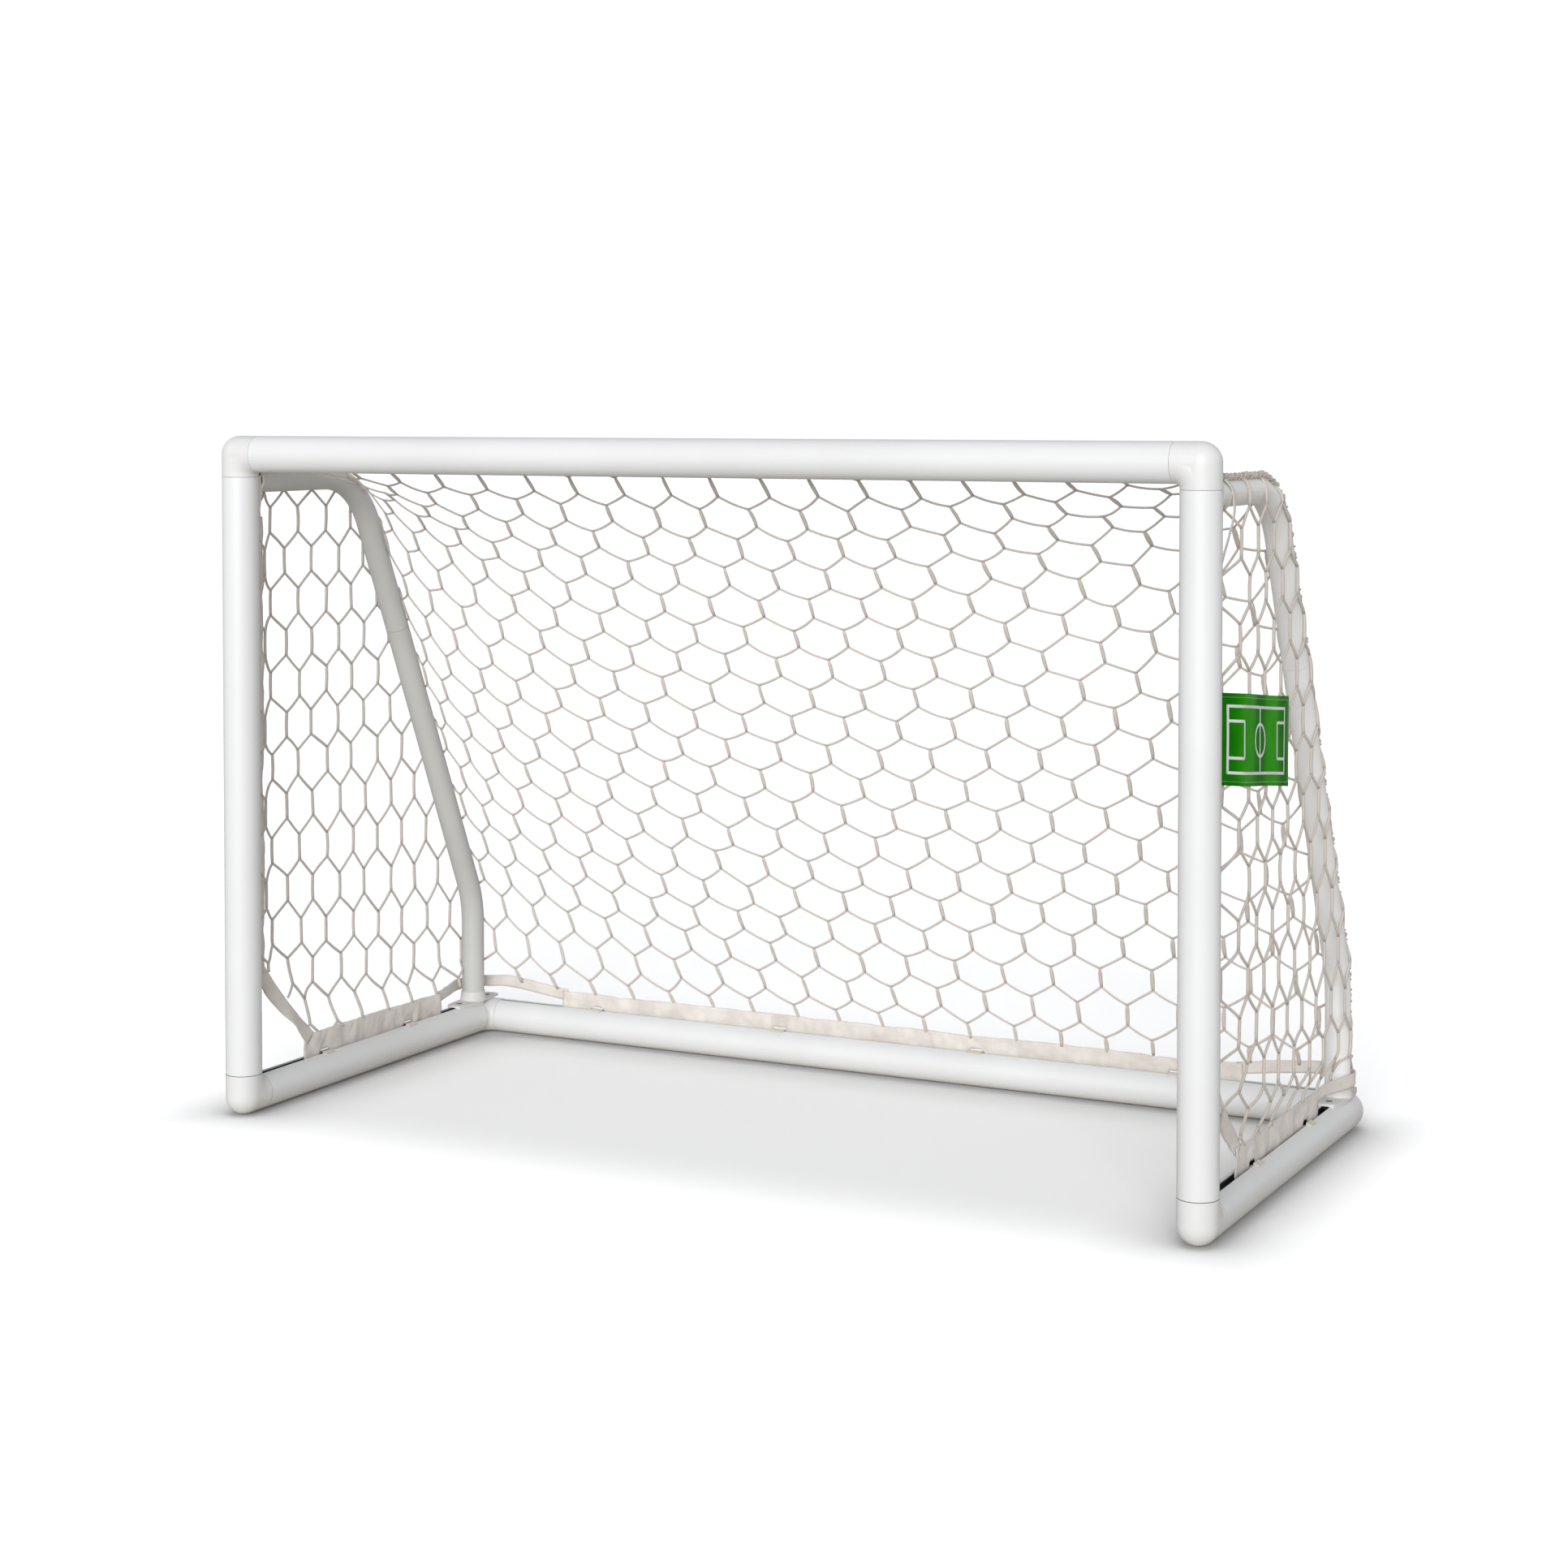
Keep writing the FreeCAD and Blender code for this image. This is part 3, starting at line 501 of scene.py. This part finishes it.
def tape(name, stations, columns, thickness, material, slot, wrinkle=0.0, ruffle=0.0, seed=0.0,
         width=None):
    """Band of cloth. Each station is (edge, across): a place on one edge and the way to the other."""
    points, faces, uvs, travelled = [], [], [], [0.0]
    for i, (edge, across) in enumerate(stations):
        if i:
            before = stations[i - 1]
            step = edge + across - before[0] - before[1]
            travelled.append(travelled[-1] + step.length)
        ahead = stations[min(i + 1, len(stations) - 1)][0] - stations[max(i - 1, 0)][0]
        outward = ahead.cross(across).normalized()
        reach = 1 + ruffle * wander((travelled[-1], seed, 0), 14.0) \
            + ruffle * 0.4 * wander((travelled[-1], seed, 3), 45.0)
        for j in range(columns + 1):
            share = j / columns
            fold = wander((travelled[-1], share * 0.02, seed), 26.0) \
                + 0.5 * wander((travelled[-1], share * 0.03, seed + 5), 70.0) \
                + 0.35 * wander((travelled[-1] * 0.7, share * 0.05, seed + 8), 130.0)
            points.append(edge + across * (share * reach)
                          + outward * (fold * wrinkle * math.sin(math.pi * (0.15 + 0.6 * share))))
    width = width or stations[0][1].length
    for i in range(len(stations) - 1):
        for j in range(columns):
            a = i * (columns + 1) + j
            faces.append((a, a + 1, a + columns + 2, a + columns + 1))
            u, v = width * j / columns, width * (j + 1) / columns
            uvs += [(u, travelled[i]), (v, travelled[i]), (v, travelled[i + 1]), (u, travelled[i + 1])]
    piece = add_piece(name, points, faces, uvs, material, slot)
    solid = piece.modifiers.new("thickness", "SOLIDIFY")
    solid.thickness = thickness
    solid.offset = 0.0
    return piece, travelled[-1]


# ---- rear and roof net ----

# middle line of the net: distances behind the post axis, then heights
middle_front, middle_run, middle_belly, belly_skew = 0.056, 0.726, 0.086, 0.54
middle_top, middle_fall, middle_sag = 1.160, 1.075, 0.060
# rows crowd towards the crossbar: strength halfway down, and its change to either end
middle_crowding, middle_ease = 0.336, 0.13
edge_crowding, edge_ease = 0.033, 0.026
# how late the net turns to its edges; how its columns gather there, at the ends and in between
pull_power, pull_ease = 2.6, 0.33
gather_ends, gather_middle = 0.013, 0.114


def rear_net_place(column, row):
    """Place of the net in half cells across and rows down, before it is lifted off the stays."""
    share = column / (rear_columns / 2) - 1
    down = min(1.0, max(0.0, (row - first_row) / rows_down))
    inner = down * (1 - down)
    middle_down = down - inner * (middle_crowding - middle_ease * (1 - 2 * down))
    edge_down = down - inner * (edge_crowding - edge_ease * (1 - 2 * down))
    middle_back = middle_front + middle_run * middle_down \
        + middle_belly * math.sin(math.pi * middle_down ** belly_skew)
    middle_height = middle_top - middle_fall * middle_down - middle_sag * math.sin(math.pi * middle_down)
    (edge_back, edge_height), _ = net_edge.at(edge_down)
    pull = abs(share) ** (pull_power - pull_ease * down)
    gather = gather_ends + gather_middle * math.sin(math.pi * down)
    x = half_width * (share + gather * (share - math.copysign(abs(share) ** 5, share)))
    back = middle_back + (edge_back - middle_back) * pull
    height = middle_height + (edge_height - middle_height) * pull
    if abs(share) > 0.999:                       # laced to the border cord
        x = math.copysign(half_width + cord_side, share)
    return from_post(x, back, height)


def rear_net_facing(column, row):
    """Outward normal of the rear net."""
    column = min(rear_columns - 1.0, max(1.0, column))
    across = rear_net_place(column + 0.5, row) - rear_net_place(column - 0.5, row)
    down = rear_net_place(column, min(row + 0.5, rear_rows)) - rear_net_place(column, row - 0.5)
    return across.cross(down).normalized() * -1


def jitter(size):
    return Vector([seeded.uniform(-size, size) for _ in range(3)])


def make_rear_net():
    """Hexagonal net: upright knitted strands that split in two at each end."""
    strands = Strands()
    ends = {}
    for row in range(-2, rear_rows + 1):
        for column in range(rear_columns + 1):
            if (column + row) % 2:
                shake = jitter(0.0028) if 0 < column < rear_columns else jitter(0.0008)
                for sign in (-1, 1):
                    place = rear_net_place(column, max(first_row, row + sign * strut_half))
                    ends[column, row, sign] = place + shake + jitter(0.0012)
    for (column, row, sign), place in ends.items():
        facing = rear_net_facing(column, row + sign * strut_half)
        if sign < 0 and row > -2:
            other = ends[column, row, 1]
            line = [off_the_stay(p) for p in between(place, other, 5, bow=jitter(0.0012))]
            swell = 0.0040 * seeded.uniform(0.86, 1.1)
            strands.add(line, [swell * s for s in (0.7, 0.95, 1, 0.95, 0.7)],
                        [0.0018, 0.0021, 0.0022, 0.0021, 0.0018], facing)
        if sign > 0:
            for step in (-1, 1):
                other = ends.get((column + step, row + 1, -1))
                if other:
                    line = [off_the_stay(p)
                            for p in between(place, other, 6, sag=0.0015, bow=jitter(0.0012))]
                    strands.add(line, [0.0023] * 6, [0.0017] * 6, facing, 6)
    net = strands.piece("rear_net_mesh", net_twine, "net_white")
    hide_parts("rear_net")


# ---- side nets ----

def side_row_height(row, back):
    """The lower rows drop towards the stay's foot."""
    drop = 0.050 * min(1.0, max(0.0, (row - 6) / 4)) * (back - side_front) / 0.5
    return stub_height - side_row * (row + 1) - drop


corner_way = Vector((tape_corner_back - tape_front, tape_corner_high - hem_top)).normalized()


def edge_distance(back, z):
    """Distance of a side net place from the tape along its front and lower edge."""
    lower = z - (hem_top - 0.005) - 0.05 * max(0.0, back - 0.648)
    corner = (back - tape_front) * corner_way.y + (z - tape_corner_high) * corner_way.x
    return min(back - tape_front, lower, corner)


def inside_side_net(back, z):
    """True between the tape and the border cord."""
    nearest, out = side_net_end.nearest(back, z)
    return edge_distance(back, z) > 0 and (back - nearest[0]) * out[0] + (z - nearest[1]) * out[1] < 0


def side_net_place(side, back, z):
    """The net leaves the grooves, stands out to pass the stay and wraps round it to the cord."""
    reach = net_gap * smooth_step(edge_distance(back, z) / net_rise)
    nearest, out = stay_axis.nearest(back, z)
    beyond = max(0.0, (back - nearest[0]) * out[0] + (z - nearest[1]) * out[1])
    angle = min(1.3, beyond / net_gap)
    inwards = beyond - net_gap * math.sin(angle)
    return off_the_stay(from_post(side * (half_width + reach * math.cos(angle)),
                                  back - out[0] * inwards, z - out[1] * inwards))


def trimmed(a, b):
    """Part of a strand that is inside the side net, or None."""
    inside = inside_side_net(*a), inside_side_net(*b)
    if not any(inside):
        return None
    if all(inside):
        return a, b
    keep, lost = (a, b) if inside[0] else (b, a)
    low, high = 0.0, 1.0
    for _ in range(12):
        share = (low + high) / 2
        place = [k + (e - k) * share for k, e in zip(keep, lost)]
        if inside_side_net(*place):
            low = share
        else:
            high = share
    end = tuple(k + (e - k) * (low + high) / 2 for k, e in zip(keep, lost))
    return (keep, end) if inside[0] else (end, keep)


def make_side_net(name, side):
    """Hexagonal net between the post, the side bar and the stay."""
    strands = Strands()
    facing = Vector((side, 0, 0))
    ends = {}
    for row in range(-2, 14):
        for column in range(-2, 18):
            if (column + row) % 2 == 0:
                back = side_front + side_pitch * column + seeded.uniform(-0.004, 0.004)
                height = side_row_height(row, back) + seeded.uniform(-0.003, 0.003)
                for sign in (-1, 1):
                    ends[column, row, sign] = (back + seeded.uniform(-0.0015, 0.0015),
                                               height - sign * side_strut_half * side_row)
    for (column, row, sign), place in ends.items():
        others = [(ends[column, row, 1], 0.0035, 0.0026)] if sign < 0 else \
            [(ends.get((column + step, row + 1, -1)), 0.0028, 0.0021) for step in (-1, 1)]
        for other, wide, thick in others:
            part = trimmed(place, other) if other else None
            if part and math.dist(*part) > 0.004:
                a, b = part
                line = [side_net_place(side, a[0] + (b[0] - a[0]) * i / 5, a[1] + (b[1] - a[1]) * i / 5)
                        for i in range(6)]
                bow = jitter(0.0010)
                line = [p + bow * math.sin(math.pi * i / 5) for i, p in enumerate(line)]
                wide *= seeded.uniform(0.9, 1.15)
                strands.add(line, [wide * s for s in (0.85, 1, 1, 1, 1, 0.85)], [thick] * 6, facing, 6)
    net = strands.piece(name + "_side_net_mesh", net_twine, "net_white")
    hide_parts(name + "_side_net")


# ---- border cords with their lacing ----

def cord_place(side, share, sideways=0.0, outwards=0.0):
    (back, height), out = cord_line.at(share)
    return off_the_stay(from_post(side * (half_width + cord_side + sideways),
                                  back + out[0] * outwards, height + out[1] * outwards), cord_clear)


def make_border_cord(name, side):
    """Edge rope of the net, whipped to both nets by a thin lacing, with a knot at each mesh."""
    strands = Strands()
    facing = Vector((side, 0, 0))
    count = int(cord_line.length / 0.006)
    line, radii = [], []
    for i in range(count + 1):
        share = i / count
        travelled = share * cord_line.length
        lump = max(0.0, math.cos(2 * math.pi * travelled / knot_pitch)) ** 6
        lump *= 0.65 + 0.5 * wander((travelled, side, 5), 20.0)
        swell = cord_radius * 0.9 * lump
        line.append(cord_place(side, share, swell * 0.6 + 0.0014 * wander((travelled, side, 0), 30.0),
                               swell * 0.7 + 0.0016 * wander((travelled, side, 7), 24.0)))
        radii.append(swell + cord_radius * (1 + 0.15 * wander((travelled, side, 2), 60.0)))
    strands.add(line, radii, [r * 0.9 for r in radii], facing, 10)
    turns, per_turn = int(cord_line.length / lacing_pitch), 10
    lacing = []
    for i in range(turns * per_turn + 1):
        share = i / (turns * per_turn)
        angle = 2 * math.pi * i / per_turn + 0.5 * wander((share, side, 9), 40.0)
        reach = 0.0050 + 0.0012 * wander((share, side, 11), 90.0)
        lacing.append(cord_place(side, share, reach * math.cos(angle), reach * math.sin(angle)))
    strands.add(lacing, [0.0013] * len(lacing), [0.0011] * len(lacing), facing, 6)
    cord = strands.piece(name + "_border_cord_laced", cord_twine, "net_white")
    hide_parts(name + "_border_cord")


# ---- tapes and hems ----

rear_hem_top = 0.093          # top of the hem on the rear bar above the floor
rod_top = 0.0215              # tapes start above the rod, measured from the tube's axis
clip_top = 0.068              # top of a clip above the floor
tape_lap = 0.010              # how far a tape laps over the net


def even(start, end, step):
    count = max(2, int(abs(end - start) / step) + 1)
    return [start + (end - start) * i / (count - 1) for i in range(count)]


def cut_up(place, clips, half=0.017):
    """How far a hem's lower edge is cut up to pass over a clip."""
    near = min([abs(place - c) for c in clips] + [1.0])
    return (clip_top - bar_height - rod_top) * smooth_step((half - near) / 0.003)


def clip_places(node, axis, start=0.0):
    """Middles of the clips of one node along an axis."""
    mesh = nodes[node].data
    values = sorted(v.co[axis] for v in mesh.vertices)
    groups = [[values[0]]]
    for value in values[1:]:
        if value - groups[-1][-1] > 0.03:
            groups.append([])
        groups[-1].append(value)
    return [(g[0] + g[-1]) / 2 - start for g in groups]


def strap_stations(points, across, steps):
    """Stations of a tape along a smooth curve through some points."""
    stations = []
    for i in range(len(points) - 1):
        before, after = points[max(i - 1, 0)], points[min(i + 2, len(points) - 1)]
        a, b = points[i], points[i + 1]
        for j in range(steps):
            t = j / steps
            place = 0.5 * (2 * a + (b - before) * t + (2 * before - 5 * a + 4 * b - after) * t ** 2
                           + (3 * a - before - 3 * b + after) * t ** 3)
            stations.append((place, across))
    return [*stations, (points[-1], across)]


def make_side_tapes(name, side):
    """Post tape, side bar hem, corner tape between them, and the strap at the stay's stub."""
    x = side * half_width
    clips = clip_places(name + "_bar_clips", 1, post_y)
    wide = tape_front + tape_lap - rod_top
    post_stations = [(from_post(x, rod_top, z),
                      Vector((0, wide + 0.007 * wander((z, side, 1), 11.0), 0)))
                     for z in even(tape_corner_high - 0.022, 1.056, 0.008)]
    post_tape, length = tape(name + "_post_tape", post_stations, 4, 0.0016, tape_cloth,
                             "binding_white", 0.004, 0.10, side)

    low = bar_height + rod_top
    stations = []
    for back in even(0.178, 0.618, 0.005):
        lift = cut_up(back, clips)
        top = hem_top + 0.003 * wander((back, side, 6), 9.0) - 0.003 * smooth_step((back - 0.5) / 0.1)
        stations.append((from_post(x, back, low + lift),
                         Vector((side * 0.004 * wander((back, side, 4), 12.0), 0, top - low - lift))))
    hem, length = tape(name + "_bar_hem", stations, 8, 0.0018, tape_cloth, "binding_white",
                       0.0055, 0.0, 3 + side, hem_top - low)
    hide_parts(name + "_net_binding")

    corner, across_tape = [], 0.026
    for share in even(0.0, 1.0, 0.03):
        net_side = Vector((tape_front, tape_corner_high)).lerp(Vector((tape_corner_back, hem_top)), share)
        twist = 0.9 * math.sin(2.2 * math.pi * share - 0.4) * math.sin(math.pi * share)
        reach = across_tape * math.cos(0.5 * twist)
        bend = 0.004 * math.sin(math.pi * share)
        place = from_post(x, net_side.x - bend, net_side.y - bend)
        corner.append((place, Vector((side * across_tape * math.sin(0.5 * twist),
                                      -reach * corner_way.y, -reach * corner_way.x))))
    corner_tape, length = tape(name + "_corner_tape", corner, 6, 0.0018, tape_cloth,
                               "binding_white", 0.0035, 0.06, 8 + side)

    route = [(-0.008, 0.052, 1.1445), (0.006, 0.057, 1.1450), (0.018, 0.064, 1.1375),
             (0.0245, 0.073, 1.1210), (0.0245, 0.076, 1.0900), (0.017, 0.070, 1.0500),
             (0.008, 0.060, 1.0050), (0.003, 0.052, 0.9550), (0.001, 0.047, 0.9000)]
    points = [from_post(x + side * out, back, z) for out, back, z in route]
    strap, length = tape(name + "_stub_strap", strap_stations(points, Vector((0, 0.0095, 0.001)), 6), 3,
                         0.0012, tape_cloth, "binding_white", 0.0008, 0.08, 17 + side)


def make_foot_bands(name, side):
    """Narrow band that carries the hems round the outside of one stay's foot."""
    outer = half_width + stay_radius + 0.0045
    band_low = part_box(name + "_foot_flange")[1].z + 0.001
    route = [(half_width, 0.602, 0.081), (half_width + 0.004, 0.640, 0.086),
             (half_width + 0.016, 0.680, band_low), (outer, 0.715, band_low), (outer, 0.748, band_low),
             (half_width + 0.018, 0.774, band_low), (half_width - 0.010, 0.786, band_low),
             (half_width - 0.050, 0.787, 0.089), (half_width - 0.110, 0.785, 0.084),
             (half_width - 0.195, 0.782, 0.074)]
    points = [from_post(side * px, back, z) for px, back, z in route]
    stations = strap_stations(points, Vector((0, 0, 0.022)), 8)
    band, length = tape(name + "_foot_band", stations, 5, 0.0018, tape_cloth, "binding_white",
                        0.0024, 0.14, 12 + side)


def make_rear_hem():
    """Hem of the rear net in the rear bar's groove."""
    low = bar_height + rod_top
    clips = clip_places("rear_bar_clips", 0)
    stations = []
    for x in even(-0.700, 0.700, 0.005):
        lift = cut_up(x, clips)
        top = rear_hem_top + 0.003 * wander((x, 3, 0), 8.0) + 0.002 * wander((x, 5, 0), 24.0)
        stations.append((from_post(x, rear_back, low + lift),
                         Vector((0, -0.003 + 0.003 * wander((x, 1, 1), 10.0), top - low - lift))))
    hem, length = tape("rear_bar_hem", stations, 8, 0.0018, tape_cloth, "binding_white",
                       0.0055, 0.0, 21, rear_hem_top - low)
    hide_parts("rear_bar_net_hem")


def make_crossbar_hem():
    """Hem of the rear net in the crossbar's groove."""
    stations = []
    for x in even(-0.834, 0.834, 0.007):
        stations.append((from_post(x, rod_top, top_height),
                         Vector((0, 0.0345 + 0.002 * wander((x, 5, 1), 12.0),
                                 -0.008 + 0.003 * wander((x, 2, 1), 10.0)))))
    hem, length = tape("crossbar_hem", stations, 6, 0.0018, tape_cloth, "binding_white",
                       0.003, 0.06, 31)
    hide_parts("crossbar_net_hem")


# ---- banner ----

banner_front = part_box("banner")[0].y - post_y
banner_cut = 0.018            # its cloth ends this much before the CAD node
banner_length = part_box("banner")[1].y - post_y - banner_front - banner_cut
banner_fall = 0.034           # its rear end hangs lower
banner_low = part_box("banner")[0].z + banner_fall
banner_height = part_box("banner")[1].z - banner_low
banner_off_net = 0.0058       # its outer face in front of the middle of the net's strands


def banner_place(along, up, lift=0.0):
    """Place on the banner's outer face: along from the post side, up from its lower edge, 0 to 1."""
    back = banner_front + banner_length * along
    z = banner_low - 0.0015 + (banner_height + 0.003 + 0.0045 * along) * up - banner_fall * along
    out = net_gap * smooth_step(edge_distance(back, z) / net_rise)
    wave = 0.0012 * math.sin(2 * math.pi * (along * 1.3 + 0.1)) \
        + 0.0006 * wander((along, up * 0.3, 0), 6.0)
    edge = 0.0012 * math.sin(math.pi * 2 * along) * (up - 0.5)
    return from_post(half_width + out + banner_off_net + wave + lift, back, z + edge)


def surface_patch(strip, columns, rows, lift):
    """Grid on the banner; strip(u, v) gives a place along and up it."""
    points, faces, uvs = [], [], []
    places = [[strip(i / columns, j / rows) for j in range(rows + 1)] for i in range(columns + 1)]
    for line in places:
        points += [banner_place(a, u, lift) for a, u in line]
    for i in range(columns):
        for j in range(rows):
            a = i * (rows + 1) + j
            faces.append((a, a + rows + 1, a + rows + 2, a + 1))
            for p, q in ((i, j), (i + 1, j), (i + 1, j + 1), (i, j + 1)):
                along, up = places[p][q]
                uvs.append((along * banner_length, up * banner_height))
    return points, faces, uvs


def make_banner():
    """Plain coated cloth with stitched hems and a drawing of a pitch."""
    cloth = add_piece("banner_cloth_panel", *surface_patch(lambda u, v: (u, v), 48, 22, 0.0),
                      banner_cloth, "banner_green")
    solid = cloth.modifiers.new("thickness", "SOLIDIFY")
    solid.thickness = 0.0009
    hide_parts("banner")
    line = 0.0022

    def bar(a0, u0, a1, u1):
        return lambda u, v: (a0 + (a1 - a0) * u, u0 + (u1 - u0) * v)

    def ring(radius):
        def strip(u, v):
            reach = radius + (v - 0.5) * 2 * line
            angle = 2 * math.pi * u
            return (0.5 + reach * math.cos(angle) / banner_length,
                    0.5 + reach * math.sin(angle) / banner_height)
        return strip

    la, lu = line / banner_length, line / banner_height
    a0, a1, u0, u1 = 0.09, 0.91, 0.14, 0.86
    strips = [bar(a0, u0 - lu, a1, u0 + lu), bar(a0, u1 - lu, a1, u1 + lu),
              bar(a0 - la, u0 - lu, a0 + la, u1 + lu), bar(a1 - la, u0 - lu, a1 + la, u1 + lu),
              bar(0.5 - la, u0, 0.5 + la, u1)]
    for end, way in ((a0, 1), (a1, -1)):
        inner = end + way * 0.13
        strips += [bar(inner - la, 0.30, inner + la, 0.70),
                   bar(min(end, inner), 0.30 - lu, max(end, inner), 0.30 + lu),
                   bar(min(end, inner), 0.70 - lu, max(end, inner), 0.70 + lu)]
    points, faces, uvs = [], [], []
    for strip in [*strips, ring(0.024)]:
        more = surface_patch(strip, 40, 10, 0.0006)
        faces += [tuple(i + len(points) for i in f) for f in more[1]]
        points += more[0]
        uvs += more[2]
    ink = add_piece("banner_pitch_print", points, faces, uvs, banner_ink, "banner_green")
    solid = ink.modifiers.new("thickness", "SOLIDIFY")
    solid.thickness = 0.0002
    stitches = Strands()
    inset_a, inset_u = 0.006 / banner_length, 0.006 / banner_height
    corners = [(inset_a, inset_u), (1 - inset_a, inset_u), (1 - inset_a, 1 - inset_u),
               (inset_a, 1 - inset_u)]
    for (p, q), (r, s) in zip(corners, corners[1:] + corners[:1]):
        run = math.hypot((r - p) * banner_length, (s - q) * banner_height)
        count = int(run / 0.0042)
        for i in range(count):
            ends = [(p + (r - p) * t, q + (s - q) * t) for t in ((i + 0.15) / count, (i + 0.8) / count)]
            stitch = [banner_place(*ends[0], 0.0002), banner_place(*ends[1], 0.0002)]
            middle = (stitch[0] + stitch[1]) / 2 + Vector((0.0004, 0, 0))
            stitches.add([stitch[0], middle, stitch[1]], [0.0004] * 3, [0.0003] * 3,
                         Vector((1, 0, 0)), 5)
    thread = stitches.piece("banner_stitches", seam_thread, "banner_green")


make_rear_net()
for side_name, side_sign in SIDES:
    make_side_net(side_name, side_sign)
    make_border_cord(side_name, side_sign)
    make_side_tapes(side_name, side_sign)
    make_foot_bands(side_name, side_sign)
make_rear_hem()
make_crossbar_hem()
make_banner()


# ---- floor, light and camera ----

def make_floor():
    """Floor with a painted shadow under and round the goal and painted contact shade next to the frame.
    It throws back less light than the camera sees.
    """
    reach = 60.0
    mesh = bpy.data.meshes.new("floor")
    mesh.from_pydata([(-reach, -reach, -0.0005), (reach, -reach, -0.0005), (reach, reach, -0.0005),
                      (-reach, reach, -0.0005)], [], [(0, 1, 2, 3)])
    floor = bpy.data.objects.new("floor", mesh)
    bpy.context.scene.collection.objects.link(floor)
    shader = Shader("studio_floor", (0.9, 0.9, 0.9), 0.9)       # only its tree is used
    dim = shader.node("ShaderNodeBsdfDiffuse", Color=(0.56, 0.53, 0.48, 1))
    place = shader.node("ShaderNodeSeparateXYZ", i0=shader.node("ShaderNodeNewGeometry").outputs[0])
    past_side = shader.math("SUBTRACT", shader.math("ABSOLUTE", place.outputs[0]), cad_high[0])
    past_end = shader.math("SUBTRACT", shader.math("ABSOLUTE", place.outputs[1]), cad_high[1])
    # painted shadow: darker under and round the goal's footprint, brighter away from it
    painted_shadow_under_goal = shader.node("ShaderNodeMapRange", i0=shader.math("MAXIMUM", past_side, past_end))
    painted_shadow_under_goal.interpolation_type = "SMOOTHSTEP"
    for socket, value in (("From Min", -0.14), ("From Max", 0.16), ("To Min", 1.28), ("To Max", 1.70)):
        painted_shadow_under_goal.inputs[socket].default_value = value
    # painted contact shade: ambient occlusion darkens the floor's colour next to the frame
    corners = shader.node("ShaderNodeAmbientOcclusion", {"samples": 12}, Distance=0.16)
    painted_contact_shade = shader.spread(corners.outputs["AO"], 0.42, 1.0, 0.45, 1.0)
    bright = shader.node("ShaderNodeBsdfDiffuse",
                         i0=shader.math("MULTIPLY", painted_shadow_under_goal.outputs[0], painted_contact_shade))
    seen = shader.node("ShaderNodeLightPath").outputs["Is Camera Ray"]
    mix = shader.node("ShaderNodeMixShader", i0=seen, i1=dim.outputs[0], i2=bright.outputs[0])
    shader.tree.links.new(mix.outputs[0], shader.tree.nodes["Material Output"].inputs["Surface"])
    mesh.materials.append(shader.material)


def add_sun(name, towards_light, spread_degrees, strength):
    """Soft light from one side, as from a very large box."""
    light = bpy.data.lights.new(name, "SUN")
    light.angle = math.radians(spread_degrees)
    light.energy = strength
    lamp = bpy.data.objects.new(name, light)
    lamp.rotation_mode = "QUATERNION"
    lamp.rotation_quaternion = (-Vector(towards_light)).to_track_quat("-Z", "Y")
    bpy.context.scene.collection.objects.link(lamp)


def make_studio():
    """White surroundings, brighter to the camera than as light, and one soft sun."""
    world = bpy.data.worlds.new("studio")
    world.use_nodes = True
    bpy.context.scene.world = world
    tree = world.node_tree
    background = tree.nodes["Background"]
    seen = tree.nodes.new("ShaderNodeBackground")
    mix = tree.nodes.new("ShaderNodeMixShader")
    ray = tree.nodes.new("ShaderNodeLightPath")
    background.inputs["Color"].default_value = (0.97, 0.98, 1.0, 1)
    height = tree.nodes.new("ShaderNodeSeparateXYZ")
    dimmed = tree.nodes.new("ShaderNodeMapRange")
    dimmed.inputs["To Min"].default_value = 0.74
    dimmed.inputs["To Max"].default_value = 0.30
    tree.links.new(tree.nodes.new("ShaderNodeTexCoord").outputs["Generated"], height.inputs[0])
    tree.links.new(height.outputs["Z"], dimmed.inputs["Value"])
    tree.links.new(dimmed.outputs[0], background.inputs["Strength"])
    seen.inputs["Color"].default_value = (1, 1, 1, 1)
    seen.inputs["Strength"].default_value = 1.05
    tree.links.new(ray.outputs["Is Camera Ray"], mix.inputs[0])
    tree.links.new(background.outputs[0], mix.inputs[1])
    tree.links.new(seen.outputs[0], mix.inputs[2])
    tree.links.new(mix.outputs[0], tree.nodes["World Output"].inputs["Surface"])
    add_sun("key", (0.24, -0.94, 0.22), 46.0, 2.7)


def make_camera():
    """Long lens from the front right, shifted down to keep the posts upright."""
    camera = bpy.data.cameras.new("camera")
    camera.lens = 65.9
    camera.sensor_width = 36.0
    camera.shift_y = -0.18
    camera.clip_end = 200.0
    holder = bpy.data.objects.new("camera", camera)
    holder.location = from_post(2.260, -4.062, 1.2495)
    turn, tilt = math.radians(-27.0), math.radians(-1.88)
    ahead = Vector((math.sin(turn) * math.cos(tilt), math.cos(turn) * math.cos(tilt), math.sin(tilt)))
    holder.rotation_mode = "QUATERNION"
    holder.rotation_quaternion = ahead.to_track_quat("-Z", "Y")
    bpy.context.scene.collection.objects.link(holder)
    bpy.context.scene.camera = holder
    bpy.context.scene.view_settings.view_transform = "Standard"


make_floor()
make_studio()
make_camera()
